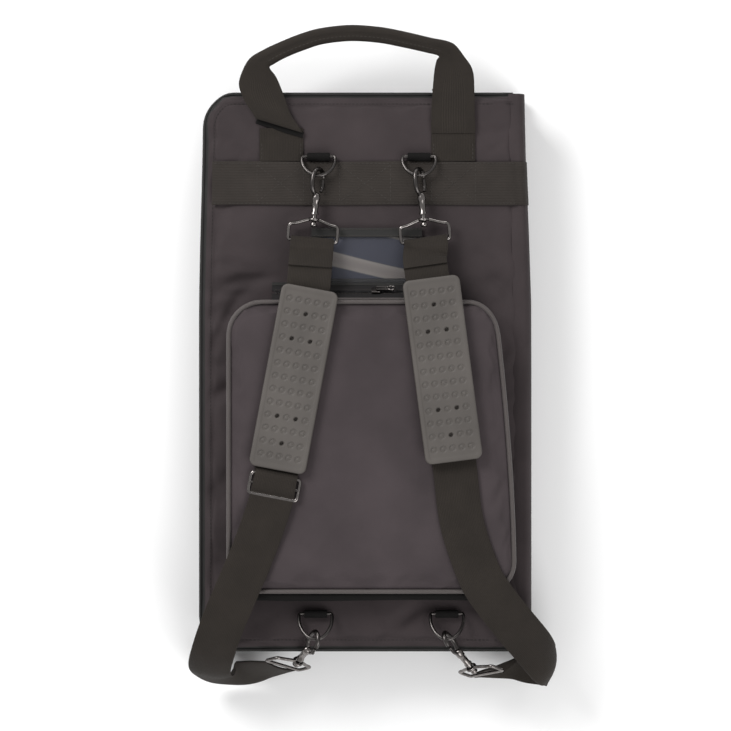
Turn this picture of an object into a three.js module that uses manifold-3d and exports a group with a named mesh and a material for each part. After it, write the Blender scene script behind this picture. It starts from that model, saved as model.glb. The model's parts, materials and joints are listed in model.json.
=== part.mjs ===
// Drum stick bag, millimetres. It lies on its front cover: +Z is out of the back cover with the pocket
// and the shoulder straps, +Y is towards the carry handle, +X is towards the spine.
import * as THREE from "three";
import { mergeVertices } from "three/addons/utils/BufferGeometryUtils.js";
import Module from "manifold-3d";

const wasm = await Module();
wasm.setup();

// ---- Driving dimensions -------------------------------------------------------------------------
const GAP = 0.3; // between pieces that touch
const BAG_WIDTH = 286;
const BAG_HEIGHT = 482;
const BAG_DEPTH = 64;
const ZIP_CORNER = 30; // corner radius on the zipped side
const SPINE_CORNER = 8; // corner radius on the spine side
const EDGE_ROUND = 7; // how far the cover's face rolls off towards its edge
const PANEL = 6; // padded cover panel
const WALL = 4; // gusset wall
const BINDING = 1.2;
const ZIP_TAPE = 2.5; // height of one zipper tape
const SPINE_THICK = 5;
const HINGE_DEPTH = 3; // spine hinge axis, in from the cover's face
const HINGE_ROOM = 4; // free radius round a spine hinge

const SLEEVE = { width: 256, length: 208, depth: 13, count: 5, skin: 1.2, rib: 3, foot: -228 };

const WEB = { wide: 38, thick: 1.6 };
const TAB_WIDE = 20;
const BAND = { left: -134, right: 134.5, low: 143.6, high: 181.5 };

const POCKET = { left: -116, right: 124.7, low: -193.5, high: 59.3, depth: 26, radius: 28, wall: 3 };
const PIPING = { wide: 3, deep: 4.3 };
const POCKET_ZIP = { left: -86, right: 96, foot: 76, drop: 4.6 };

const WINDOW = { left: -46, right: 49, low: 77, high: 124, rim: 4, hem: 8 };
const FILM = 0.6;
const CARD = { wide: 86, high: 42, thick: 0.8 };

const HANDLE = { left: -72, right: 76, fold: 205, level: 66.4, thick: 1.8, grip: 7 };

const RING_WIRE = 1.4; // radius
const RING_WIDE = 28; // centreline, across the bar
const BAR_LIFT = 4; // bar axis above the cover's face
const UPPER_RING = { reach: 18, lift: 23, bar: 185.5 };
const LOWER_RING = { reach: 25, lift: 34, bar: -208 };

const NOSE_END = 8.5; // the nose comes back down this far
const HOOK = { eye: 24, half: 7.6, wire: 2, barrel: 17, barrelRadius: 3.6, pin: 1.9, ball: 3.2 };
const RING_IN_EYE = 17; // ring wire's place in the eye, from the barrel
const GATE_WIRE = 1.5;
const LOOP = { half: 21, reach: 18.5, wire: 1.4, collar: 3.6, collarWire: 1.3 };
const PIN_OUT = 4.2; // collar centre, past the barrel

const PAD = { wide: 49, long: 158, thick: 5, radius: 6 };
const ADJUSTER = { wide: 42, long: 18, wire: 1.6 };
const STRAP_LEVEL = BAG_DEPTH + POCKET.depth + 1.6; // middle of the webbing over the pocket

const MAIN_SLIDER = { x: 76, long: 11, high: 8, deep: 3.4 };
const MAIN_PULL = { long: 18, high: 6, thick: 1.4 };
const POCKET_SLIDER = { x: 10, long: 8, wide: 7, deep: 2.6 };
const POCKET_PULL = { long: 11, wide: 5, thick: 1.2 };
const PULL_HEEL = 0.6; // how far a pull reaches past its pivot

const HALF_W = BAG_WIDTH / 2;
const HALF_H = BAG_HEIGHT / 2;
const FACE = BAG_DEPTH; // level of the back cover's face
const SEAM = BAG_DEPTH / 2; // level of the main zipper
const SPINE_INNER = HALF_W - SPINE_THICK;

// ---- Materials ----------------------------------------------------------------------------------
const paint = (color, roughness, metalness = 0) => ({ color, roughness, metalness });
const NYLON = paint(0x3b3638, 0.85);
const LINING = paint(0x2a2729, 0.9);
const TRIM = paint(0x57524f, 0.6);
const WEBBING = paint(0x36312c, 0.8);
const RUBBER = paint(0x615b56, 0.7);
const METAL = paint(0x8b8785, 0.3, 1);
const COIL = paint(0x1b1a1b, 0.5);
const CLEAR = paint(0xb9bcc0, 0.1);
const PAPER = paint(0x2c3550, 0.6);

// ---- Solids and booleans ------------------------------------------------------------------------
function toSolid(geometry) {
  const bare = geometry.clone();
  bare.deleteAttribute("normal");
  bare.deleteAttribute("uv");
  const merged = mergeVertices(bare, 1e-3);
  return new wasm.Manifold(
    new wasm.Mesh({
      numProp: 3,
      vertProperties: merged.attributes.position.array,
      triVerts: new Uint32Array(merged.index.array),
    }),
  );
}

function toGeometry(manifold) {
  const { vertProperties, triVerts } = manifold.getMesh();
  const geometry = new THREE.BufferGeometry();
  geometry.setAttribute("position", new THREE.BufferAttribute(vertProperties, 3));
  geometry.setIndex(new THREE.BufferAttribute(triVerts, 1));
  return geometry;
}

const join = (...parts) => toGeometry(parts.map(toSolid).reduce((a, b) => a.add(b)));
const cut = (body, ...tools) => toGeometry(tools.map(toSolid).reduce((a, b) => a.subtract(b), toSolid(body)));

// A box from its lowest and highest corners.
function box(x0, y0, z0, x1, y1, z1) {
  const geometry = new THREE.BoxGeometry(x1 - x0, y1 - y0, z1 - z0);
  return geometry.translate((x0 + x1) / 2, (y0 + y1) / 2, (z0 + z1) / 2);
}

// A rectangle with its own radius on the left and the right corners at the top and the bottom.
function roundedShape(x0, y0, x1, y1, topLeft, topRight, bottomLeft = topLeft, bottomRight = topRight) {
  const shape = new THREE.Shape();
  shape.moveTo(x0 + bottomLeft, y0);
  shape.lineTo(x1 - bottomRight, y0);
  shape.absarc(x1 - bottomRight, y0 + bottomRight, bottomRight, -Math.PI / 2, 0);
  shape.lineTo(x1, y1 - topRight);
  shape.absarc(x1 - topRight, y1 - topRight, topRight, 0, Math.PI / 2);
  shape.lineTo(x0 + topLeft, y1);
  shape.absarc(x0 + topLeft, y1 - topLeft, topLeft, Math.PI / 2, Math.PI);
  shape.lineTo(x0, y0 + bottomLeft);
  shape.absarc(x0 + bottomLeft, y0 + bottomLeft, bottomLeft, Math.PI, Math.PI * 1.5);
  return shape;
}

function prism(shape, z0, z1, curveSegments = 5) {
  const geometry = new THREE.ExtrudeGeometry(shape, { depth: z1 - z0, bevelEnabled: false, curveSegments });
  return geometry.translate(0, 0, z0);
}

// A solid swept through stations, each a centre and the section's two axes. The section is a list of
// [along the first axis, along the second], anticlockwise about their cross product.
function sweep(stations, section, closed = false) {
  const points = [];
  for (const { at, a, b } of stations)
    for (const [s, t] of section) {
      const p = at.clone().addScaledVector(a, s).addScaledVector(b, t);
      points.push(p.x, p.y, p.z);
    }
  const n = section.length;
  const faces = [];
  const spans = closed ? stations.length : stations.length - 1;
  for (let i = 0; i < spans; i++) {
    const here = i * n;
    const next = ((i + 1) % stations.length) * n;
    for (let k = 0; k < n; k++) {
      const l = (k + 1) % n;
      faces.push(here + k, here + l, next + l, here + k, next + l, next + k);
    }
  }
  if (!closed) {
    const last = (stations.length - 1) * n;
    for (let k = 1; k < n - 1; k++) {
      faces.push(0, k + 1, k);
      faces.push(last, last + k, last + k + 1);
    }
  }
  const geometry = new THREE.BufferGeometry();
  geometry.setAttribute("position", new THREE.Float32BufferAttribute(points, 3));
  geometry.setIndex(faces);
  return geometry;
}

const roundSection = (radius, sides = 8) =>
  Array.from({ length: sides }, (_, i) => {
    const turn = (i / sides) * Math.PI * 2;
    return [radius * Math.cos(turn), radius * Math.sin(turn)];
  });

// A round wire through points of the XY plane.
function wire(points, radius, closed = false, sides = 8) {
  const up = new THREE.Vector3(0, 0, 1);
  const flat = points.map(([x, y]) => new THREE.Vector3(x, y, 0));
  const count = flat.length;
  const stations = flat.map((at, i) => {
    const before = closed ? flat[(i + count - 1) % count] : flat[Math.max(i - 1, 0)];
    const after = closed ? flat[(i + 1) % count] : flat[Math.min(i + 1, count - 1)];
    const run = after.clone().sub(before).normalize();
    return { at, a: new THREE.Vector3().crossVectors(up, run), b: up };
  });
  return sweep(stations, roundSection(radius, sides), closed);
}

// Webbing: a flat strip through [centre, direction across it] stations, smoothed.
function webbing(route, steps, wide = WEB.wide, thick = WEB.thick) {
  const path = new THREE.CatmullRomCurve3(route.map(([at]) => new THREE.Vector3(...at)), false, "centripetal");
  const lean = new THREE.CatmullRomCurve3(route.map(([, across]) => new THREE.Vector3(...across)));
  const stations = [];
  for (let i = 0; i <= steps; i++) {
    const t = i / steps;
    const run = path.getTangent(t);
    const across = lean.getPoint(t);
    across.addScaledVector(run, -across.dot(run)).normalize();
    stations.push({ at: path.getPoint(t), a: across, b: new THREE.Vector3().crossVectors(across, run) });
  }
  const section = [
    [wide / 2, thick / 2],
    [wide / 2, -thick / 2],
    [-wide / 2, -thick / 2],
    [-wide / 2, thick / 2],
  ];
  return sweep(stations, section);
}

// ---- Assembly -----------------------------------------------------------------------------------
const bag = new THREE.Group();

function add(name, geometry, look, parent = bag) {
  const mesh = new THREE.Mesh(geometry, new THREE.MeshStandardMaterial(look));
  mesh.name = name;
  parent.add(mesh);
  return mesh;
}

// A group whose own X and Y axes point along two directions of the bag.
function frameAt(at, xAxis, yAxis) {
  const x = new THREE.Vector3(...xAxis).normalize();
  const y = new THREE.Vector3(...yAxis);
  y.addScaledVector(x, -y.dot(x)).normalize();
  const group = new THREE.Group();
  group.position.set(...at);
  group.quaternion.setFromRotationMatrix(
    new THREE.Matrix4().makeBasis(x, y, new THREE.Vector3().crossVectors(x, y)),
  );
  bag.add(group);
  return group;
}

// ---- Covers, spine, bindings and main zipper ----------------------------------------------------
const COVER_EDGE = HALF_W - 1; // the cover's edge on the spine side
const coverOutline = (inset, right = COVER_EDGE) =>
  roundedShape(-HALF_W + inset, -HALF_H + inset, right, HALF_H - inset, ZIP_CORNER - inset, SPINE_CORNER);

// A tray with its rim at z 0 and its face at the top, open on the spine side.
function coverTray() {
  const height = SEAM - 3;
  const inset = BINDING + GAP;
  const outer = new THREE.ExtrudeGeometry(coverOutline(inset), {
    depth: height - EDGE_ROUND,
    bevelThickness: EDGE_ROUND,
    bevelSize: EDGE_ROUND,
    bevelOffset: -EDGE_ROUND,
    bevelSegments: 2,
    curveSegments: 5,
  });
  const hollow = coverOutline(inset + WALL, HALF_W + 20);
  const low = -2 * EDGE_ROUND;
  return cut(
    outer,
    box(-HALF_W, -HALF_H, low, HALF_W, HALF_H, 0),
    prism(hollow, -1, height - PANEL),
    box(SPINE_INNER - GAP, -HALF_H, -1, HALF_W, HALF_H, height - PANEL),
  );
}

// A strip that follows the top, the zipped side and the bottom.
function edgeStrip(inset, wide, z0, z1) {
  return cut(
    prism(coverOutline(inset), z0, z1),
    prism(coverOutline(inset + wide, HALF_W + 20), z0 - 1, z1 + 1),
    box(SPINE_INNER - 1, -HALF_H - 1, z0 - 1, HALF_W + 1, HALF_H + 1, z1 + 1),
  );
}

// A block with a row of channels, open towards +Y.
function stickSleeves(z0) {
  const left = -SLEEVE.width / 2;
  const pitch = (SLEEVE.width - SLEEVE.rib) / SLEEVE.count;
  const head = SLEEVE.foot + SLEEVE.length;
  const channels = Array.from({ length: SLEEVE.count }, (_, i) => {
    const start = left + SLEEVE.rib + i * pitch;
    return box(
      start,
      SLEEVE.foot + SLEEVE.rib,
      z0 + SLEEVE.skin,
      start + pitch - SLEEVE.rib,
      head + 1,
      z0 + SLEEVE.depth - SLEEVE.skin,
    );
  });
  return cut(box(left, SLEEVE.foot, z0, -left, head, z0 + SLEEVE.depth), ...channels);
}

function buildCovers() {
  const rim = SEAM + 3;
  add("back_cover", coverTray().translate(0, 0, rim), NYLON);
  const front = toGeometry(toSolid(coverTray()).mirror([0, 0, 1]));
  add("front_cover", front.translate(0, 0, SEAM - 3), NYLON);
  add("back_binding", edgeStrip(0, BINDING, FACE - 11, FACE - 6), TRIM);
  add("front_binding", edgeStrip(0, BINDING, 6, 11), TRIM);
  add("main_zip_back", edgeStrip(BINDING + GAP, WALL, SEAM + 0.2, SEAM + ZIP_TAPE), COIL);
  add("main_zip_front", edgeStrip(BINDING + GAP, WALL, SEAM - ZIP_TAPE, SEAM - 0.2), COIL);
  const end = HINGE_DEPTH + HINGE_ROOM;
  const ends = HALF_H - SPINE_CORNER;
  add("spine_panel", box(SPINE_INNER, -ends, end, HALF_W, ends, BAG_DEPTH - end), NYLON);
  add("front_stick_sleeves", stickSleeves(PANEL + GAP), LINING);
  add("back_stick_sleeves", stickSleeves(FACE - PANEL - GAP - SLEEVE.depth), LINING);
}

function buildMainSlider() {
  const { x, long, high, deep } = MAIN_SLIDER;
  const y = HALF_H + GAP;
  const body = box(x - long / 2, y, SEAM - high / 2, x + long / 2, y + deep, SEAM + high / 2);
  add("main_zip_slider", body, METAL);
  const half = MAIN_PULL.high / 2;
  const outline = roundedShape(-MAIN_PULL.long, -half, PULL_HEEL, half, half - GAP, GAP);
  const tab = prism(outline, -MAIN_PULL.thick, 0);
  tab.rotateX(Math.PI / 2).translate(x, y + deep + GAP, SEAM);
  add("main_zip_pull", tab, METAL);
}

// ---- Pocket -------------------------------------------------------------------------------------
const pocketOutline = (grow) =>
  roundedShape(
    POCKET.left - grow,
    POCKET.low - grow,
    POCKET.right + grow,
    POCKET.high + grow,
    POCKET.radius + grow,
    POCKET.radius + grow,
    8 + grow,
    8 + grow,
  );

function buildPocket() {
  const top = FACE + POCKET.depth;
  const bottom = FACE + GAP;
  const mouth = box(
    POCKET_ZIP.left + 2,
    POCKET.high - POCKET.wall - 1,
    bottom - 1,
    POCKET_ZIP.right - 2,
    POCKET.high + 1,
    top - POCKET_ZIP.drop - 2,
  );
  const shell = cut(
    prism(pocketOutline(0), bottom, top),
    prism(pocketOutline(-POCKET.wall), bottom - 1, top - POCKET.wall),
    mouth,
  );
  add("pocket", shell, NYLON);
  const ring = pocketOutline(PIPING.wide);
  ring.holes.push(pocketOutline(GAP));
  add("pocket_piping", prism(ring, top - PIPING.deep + GAP, top + GAP), TRIM);
}

// The pocket's zipper slopes from under the piping down to the cover's face.
const ZIP_HEAD = new THREE.Vector3(0, POCKET.high + 1.4, FACE + POCKET.depth - POCKET_ZIP.drop - 0.8);
const ZIP_FOOT = new THREE.Vector3(0, POCKET_ZIP.foot, FACE + 1.4);
const ZIP_DOWN = ZIP_FOOT.clone().sub(ZIP_HEAD).normalize();

function buildPocketZip() {
  const length = ZIP_HEAD.distanceTo(ZIP_FOOT);
  const width = POCKET_ZIP.right - POCKET_ZIP.left;
  const middle = ZIP_HEAD.clone().lerp(ZIP_FOOT, 0.5);
  const centre = (POCKET_ZIP.left + POCKET_ZIP.right) / 2;
  const tape = frameAt([centre, middle.y, middle.z], [1, 0, 0], ZIP_DOWN.toArray());
  add("pocket_zip", box(-width / 2, -length / 2, -0.8, width / 2, length / 2, 0.8), COIL, tape);
  const { x, long, wide, deep } = POCKET_SLIDER;
  const slider = frameAt([x, middle.y, middle.z], [1, 0, 0], ZIP_DOWN.toArray());
  const seat = 0.8 + GAP;
  add("pocket_zip_slider", box(-long / 2, -wide / 2, seat, long / 2, wide / 2, seat + deep), METAL, slider);
  const half = POCKET_PULL.wide / 2;
  const outline = roundedShape(-PULL_HEEL, -half, POCKET_PULL.long, half, GAP, half - GAP);
  const tab = prism(outline, 0, POCKET_PULL.thick);
  tab.translate(0, 0, seat + deep + GAP);
  add("pocket_zip_pull", tab, METAL, slider);
}

// ---- Card window --------------------------------------------------------------------------------
function buildWindow() {
  const { left, right, low, high, rim, hem } = WINDOW;
  const seat = FACE + GAP;
  const frame = cut(
    box(left, low, seat, right, high, seat + 1.9),
    box(left + rim, low + 3, seat - 1, right - rim, high + 1, seat + 3),
  );
  add("card_window_frame", frame, TRIM);
  const film = seat + 1.9 + GAP;
  add("card_window_film", box(left, low, film, right, high, film + FILM), CLEAR);
  const hemLevel = film + FILM + GAP;
  add("card_window_hem", box(left, high - hem, hemLevel, right, high, hemLevel + 0.8), TRIM);
  const middle = (left + right) / 2;
  const foot = low + 3.5;
  const card = box(
    middle - CARD.wide / 2,
    foot,
    seat + GAP,
    middle + CARD.wide / 2,
    foot + CARD.high,
    seat + GAP + CARD.thick,
  );
  add("id_card", card, PAPER);
}

// ---- Webbing band and carry handle --------------------------------------------------------------
function buildHandle() {
  const seat = FACE + GAP;
  add("webbing_band", box(BAND.left, BAND.low, seat, BAND.right, BAND.high, seat + WEB.thick), WEBBING);
  for (const [name, x] of [
    ["handle_anchor_left", HANDLE.left],
    ["handle_anchor_right", HANDLE.right],
  ]) {
    const half = WEB.wide / 2;
    add(name, box(x - half, BAND.high + GAP, seat, x + half, HANDLE.fold, seat + WEB.thick), WEBBING);
  }
  const start = HANDLE.fold + 0.5;
  const level = HANDLE.level + HANDLE.thick / 2;
  const leftLeg = webbing(
    [
      [[HANDLE.left, start, level], [1, 0, 0]],
      [[HANDLE.left - 0.5, start + 6, level], [1, 0, 0]],
      [[-82, 230, level], [0.96, 0.28, 0]],
      [[-91, 248, level + 1], [0.9, 0.42, 0]],
      [[-86, 265, level + 3], [0.75, 0.62, 0.25]],
    ],
    10,
    WEB.wide,
    HANDLE.thick,
  );
  const rightLeg = webbing(
    [
      [[HANDLE.right, start, level], [1, 0, 0]],
      [[HANDLE.right, 232, level], [1, 0, 0]],
      [[HANDLE.right - 1, 256, level + 1], [1, -0.1, 0]],
      [[HANDLE.right - 5, 270, level + 3], [0.8, -0.55, 0.25]],
    ],
    6,
    WEB.wide,
    HANDLE.thick,
  );
  const crest = level + 4;
  const arc = [
    [-90, 262],
    [-74, 275],
    [-54, 284.5],
    [-28, 290.5],
    [-8, 291.5],
    [24, 288.5],
    [50, 282.5],
    [76, 272],
  ];
  const grip = wire(arc, HANDLE.grip).scale(1, 1, 0.7).translate(0, 0, crest);
  add("handle", join(leftLeg, rightLeg, grip), WEBBING);
}

// ---- Rings and tabs -----------------------------------------------------------------------------
// A D-ring with its bar on the X axis, reaching towards -Y.
function dRing(reach) {
  const half = RING_WIDE / 2;
  const side = [
    [1, 0.04],
    [1.02, 0.22],
    [0.93, 0.5],
    [0.68, 0.78],
    [0.3, 0.97],
  ].map(([x, y]) => [x * half, -y * reach]);
  const other = side.map(([x, y]) => [-x, y]).reverse();
  const bar = [
    [-half * 0.94, 0],
    [half * 0.94, 0],
  ];
  return wire([...bar, ...side, [0, -reach], ...other], RING_WIRE, true);
}

// Webbing folded round a ring's bar, with a foot sewn flat to the cover.
function ringTab(bar, footStart, footEnd) {
  const room = RING_WIRE + 0.4;
  const fold = new THREE.Shape();
  fold.absarc(0, 0, room + WEB.thick, 0, Math.PI * 2);
  fold.holes.push(new THREE.Path().absarc(0, 0, room, 0, Math.PI * 2));
  const sleeve = new THREE.ExtrudeGeometry(fold, { depth: TAB_WIDE, bevelEnabled: false, curveSegments: 12 });
  sleeve.rotateY(Math.PI / 2).translate(-TAB_WIDE / 2, bar, FACE + BAR_LIFT);
  const foot = box(-TAB_WIDE / 2, footStart, FACE + GAP, TAB_WIDE / 2, footEnd, FACE + BAR_LIFT - room - 0.2);
  return join(sleeve, foot);
}

function buildRing(side, level, x, ring, footStart, footEnd) {
  add(`${level}_tab_${side}`, ringTab(ring.bar, footStart, footEnd).translate(x, 0, 0), WEBBING);
  const rise = THREE.MathUtils.degToRad(ring.lift);
  const seat = frameAt([x, ring.bar, FACE + BAR_LIFT], [1, 0, 0], [0, Math.cos(rise), -Math.sin(rise)]);
  add(`${level}_ring_${side}`, dRing(ring.reach), METAL, seat);
}

// ---- Snap hooks and strap loops -----------------------------------------------------------------
// A swivel snap hook along Y with its barrel below the origin and its eye above it.
function hookBody() {
  const { eye, half, wire: radius, barrel, barrelRadius, pin, ball } = HOOK;
  const spine = wire(
    [
      [-1, -1],
      [-half * 0.6, 3],
      [-half, 8],
      [-half, eye - 9],
      [-half * 0.72, eye - 4.4],
      [-half * 0.3, eye - radius],
      [half * 0.3, eye - radius],
      [half * 0.75, eye - 4.4],
      [half, eye - NOSE_END],
    ],
    radius,
  );
  const profile = [
    [0, -barrel - PIN_OUT - 6.4],
    [ball * 0.7, -barrel - PIN_OUT - 5.8],
    [ball, -barrel - PIN_OUT - 4.2],
    [pin, -barrel - PIN_OUT - 2.6],
    [pin, -barrel],
    [barrelRadius, -barrel],
    [barrelRadius, -1],
    [barrelRadius * 0.7, 1.6],
    [0, 1.6],
  ].map(([r, y]) => new THREE.Vector2(r, y));
  return join(spine, new THREE.LatheGeometry(profile, 12));
}

// The sprung gate: a wire from its pivot beside the barrel up to the hook's nose.
const GATE_PIVOT = [HOOK.half * 0.8, 3.4];
function hookGate() {
  const tip = HOOK.eye - NOSE_END - 2 * GAP - GATE_WIRE;
  return wire(
    [
      [GATE_PIVOT[0], GATE_PIVOT[1]],
      [HOOK.half, 7],
      [HOOK.half, tip],
    ],
    GATE_WIRE,
  );
}

// The strap's loop in its own XY plane, with its bar towards -Y.
function strapLoop(collarTurn) {
  const { half, reach, wire: radius, collar, collarWire } = LOOP;
  const frame = wire(
    [
      [-collar, 0],
      [-half * 0.66, -3.6],
      [-half * 0.94, -5.4],
      [-half, -8],
      [-half, -reach + 1.5],
      [-half + 1.5, -reach],
      [half - 1.5, -reach],
      [half, -reach + 1.5],
      [half, -8],
      [half * 0.94, -5.4],
      [half * 0.66, -3.6],
      [collar, 0],
    ],
    radius,
  );
  const ring = new THREE.TorusGeometry(collar, collarWire, 8, 12).rotateX(Math.PI / 2);
  ring.applyQuaternion(collarTurn);
  return join(frame, ring);
}

// One clip: hook and gate through a ring, and the loop that its swivel carries.
function buildClip(name, side, eyeAt, down, across, loopDown, loopAcross) {
  const run = new THREE.Vector3(...down).normalize();
  const eye = new THREE.Vector3(...eyeAt);
  const barrel = eye.clone().addScaledVector(run, RING_IN_EYE);
  const up = run.clone().negate();
  const hook = frameAt(barrel.toArray(), across, up.toArray());
  add(`${name}_hook_${side}`, hookBody(), METAL, hook);
  add(`${name}_gate_${side}`, hookGate(), METAL, hook);
  const collar = barrel.clone().addScaledVector(run, HOOK.barrel + PIN_OUT);
  const back = new THREE.Vector3(...loopDown).negate();
  const loop = frameAt(collar.toArray(), loopAcross, back.toArray());
  const turn = loop.quaternion.clone().invert();
  const axis = up.clone().applyQuaternion(turn);
  const collarTurn = new THREE.Quaternion().setFromUnitVectors(new THREE.Vector3(0, 1, 0), axis);
  add(`${name}_loop_${side}`, strapLoop(collarTurn), METAL, loop);
  return collar;
}

// ---- Shoulder straps ----------------------------------------------------------------------------
function buildPad(name, centre, tilt, rise) {
  const group = new THREE.Group();
  group.position.set(...centre);
  group.rotation.set(rise, 0, tilt, "ZXY");
  bag.add(group);
  const { wide, long, thick, radius } = PAD;
  const outline = roundedShape(-wide / 2, -long / 2, wide / 2, long / 2, radius, radius);
  add(name, prism(outline, 0, thick, 3), RUBBER, group);
}

function buildAdjuster(name, centre, tilt) {
  const group = new THREE.Group();
  group.position.set(...centre);
  group.rotation.z = tilt;
  bag.add(group);
  const x = ADJUSTER.wide / 2;
  const y = ADJUSTER.long / 2;
  const frame = wire(
    [
      [-x + 2, -y],
      [x - 2, -y],
      [x, -y + 2],
      [x, y - 2],
      [x - 2, y],
      [-x + 2, y],
      [-x, y - 2],
      [-x, -y + 2],
    ],
    ADJUSTER.wire,
    true,
  );
  const bar = wire(
    [
      [-x, 0],
      [x, 0],
    ],
    ADJUSTER.wire * 0.9,
  );
  add(name, join(frame, bar), METAL, group);
}

const SIDES = {
  left: {
    upperRing: -40,
    lowerRing: -42.5,
    upperAcross: 55,
    upperLoop: [-0.08, -1, -0.08],
    upperBar: [1, -0.08, 0],
    pad: { centre: [-60.8, -5.8, STRAP_LEVEL + 1.2], tilt: -0.185, rise: 0 },
    adjuster: { centre: [-77.5, -97.5, STRAP_LEVEL + 2.4], tilt: -0.19 },
    upperRoute: [
      [[-45.6, 105, 71.8], [1, 0.05, 0]],
      [[-46.2, 97, 76], [1, 0, 0]],
      [[-47, 85, 86.5], [1, -0.05, 0]],
      [[-47.8, 76, STRAP_LEVEL - 1], [0.99, -0.1, 0]],
      [[-49, 66, STRAP_LEVEL], [0.985, -0.17, 0]],
      [[-51.6, 44, STRAP_LEVEL], [0.983, -0.185, 0]],
      [[-74.2, -80, STRAP_LEVEL], [0.983, -0.185, 0]],
    ],
    hook: { down: [-0.4, -0.56, -0.72], turn: -80 },
    loop: { down: [-0.749, -0.234, -0.619], across: [0.66, -0.26, -0.7] },
    lowerRoute: [
      [[-81, -112, STRAP_LEVEL + 2.6], [0.98, -0.19, 0]],
      [[-95, -152, STRAP_LEVEL + 0.8], [0.93, -0.36, 0]],
      [[-111, -190, STRAP_LEVEL + 1], [0.93, -0.37, 0]],
      [[-122, -216, 87], [0.92, -0.38, 0.05]],
      [[-131, -243, 70], [0.9, -0.4, 0.15]],
      [[-134, -256, 53], [0.83, -0.4, 0.38]],
      [[-131, -262, 36], [0.6, -0.3, 0.75]],
      [[-121, -264.5, 24.5], [0.15, -0.05, 0.98]],
      [[-107, -263, 22.5], [-0.25, 0.1, 0.96]],
      [[-92, -259, 30], [-0.45, 0.2, 0.87]],
    ],
  },
  right: {
    upperRing: 46.5,
    lowerRing: 70.5,
    upperAcross: 60,
    upperLoop: [0.1, -1, -0.08],
    upperBar: [1, 0.1, 0],
    pad: { centre: [66, 2, STRAP_LEVEL + 3.4], tilt: 0.129, rise: -0.027 },
    adjuster: { centre: [75.3, -69, STRAP_LEVEL + 1.2], tilt: 0.13 },
    upperRoute: [
      [[50.2, 105, 71.8], [1, 0.08, 0]],
      [[51, 97, 76], [1, 0.08, 0]],
      [[52.4, 87, 86.5], [1, 0.08, 0]],
      [[53.6, 79, STRAP_LEVEL - 1], [0.992, 0.12, 0]],
      [[55.2, 70, STRAP_LEVEL], [0.992, 0.128, 0]],
      [[59.1, 45, STRAP_LEVEL], [0.992, 0.128, 0]],
      [[72.6, -55, STRAP_LEVEL], [0.992, 0.128, 0]],
    ],
    hook: { down: [0.55, -0.68, -0.485], turn: -90 },
    loop: { down: [0.748, -0.32, -0.581], across: [0.651, 0.191, 0.733] },
    lowerRoute: [
      [[77, -84, STRAP_LEVEL + 0.8], [1, 0.1, 0]],
      [[83, -130, STRAP_LEVEL + 0.8], [0.985, 0.17, 0]],
      [[98, -174, STRAP_LEVEL + 1], [0.93, 0.37, 0]],
      [[108, -192, STRAP_LEVEL + 1.4], [0.89, 0.45, 0]],
      [[123, -214, 88], [0.85, 0.5, 0.02]],
      [[142, -238, 73], [0.8, 0.55, -0.1]],
      [[151, -253, 56], [0.75, 0.5, -0.42]],
      [[152, -262, 37], [0.55, 0.3, -0.78]],
      [[146, -265.5, 25], [0.25, 0.1, -0.96]],
      [[135, -263.5, 28], [-0.2, -0.05, -0.98]],
      [[125, -259.5, 40], [-0.5, -0.15, -0.85]],
    ],
  },
};

// The unit vector across a hook: turned about its run from the plane that holds the ring's wire.
function acrossHook(down, turn) {
  const run = new THREE.Vector3(...down).normalize();
  const lift = new THREE.Vector3(1, 0, 0).cross(run).normalize();
  const flat = new THREE.Vector3().crossVectors(lift, run);
  if (flat.x < 0) flat.negate();
  const angle = THREE.MathUtils.degToRad(turn);
  return flat.multiplyScalar(Math.cos(angle)).addScaledVector(lift, Math.sin(angle)).toArray();
}

const ringTip = (x, ring) => {
  const rise = THREE.MathUtils.degToRad(ring.lift);
  const reach = ring.reach;
  return [x, ring.bar - reach * Math.cos(rise), FACE + BAR_LIFT + reach * Math.sin(rise)];
};

function buildSide(side) {
  const s = SIDES[side];
  buildRing(side, "upper", s.upperRing, UPPER_RING, BAND.high + GAP, UPPER_RING.bar + 2);
  buildRing(side, "lower", s.lowerRing, LOWER_RING, LOWER_RING.bar, POCKET.low - PIPING.wide - 1);
  const upperDown = [side === "left" ? -0.1 : 0.1, -1, 0];
  const upperAcross = acrossHook(upperDown, s.upperAcross);
  const tip = ringTip(s.upperRing, UPPER_RING);
  buildClip("upper", side, tip, upperDown, upperAcross, s.upperLoop, s.upperBar);
  const lowTip = ringTip(s.lowerRing, LOWER_RING);
  const lowAcross = acrossHook(s.hook.down, s.hook.turn);
  const collar = buildClip("lower", side, lowTip, s.hook.down, lowAcross, s.loop.down, s.loop.across);
  add(`upper_webbing_${side}`, webbing(s.upperRoute, 10), WEBBING);
  buildPad(`shoulder_pad_${side}`, s.pad.centre, s.pad.tilt, s.pad.rise);
  buildAdjuster(`adjuster_${side}`, s.adjuster.centre, s.adjuster.tilt);
  const bar = collar.clone().addScaledVector(new THREE.Vector3(...s.loop.down), LOOP.reach + 5);
  const last = [bar.toArray(), s.loop.across.map((v) => -v)];
  add(`lower_webbing_${side}`, webbing([...s.lowerRoute, last], 26), WEBBING);
}

buildCovers();
buildMainSlider();
buildPocket();
buildPocketZip();
buildWindow();
buildHandle();
buildSide("left");
buildSide("right");

export default bag;
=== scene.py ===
"""Looks of the drum stick bag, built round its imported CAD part.

Metres in the part's own frame: +Z out of the back cover with the straps, +Y to the handle, +X to the spine.
"""

import json
import math

import bmesh
import bpy
import numpy as np
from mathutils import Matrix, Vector, noise


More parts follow.
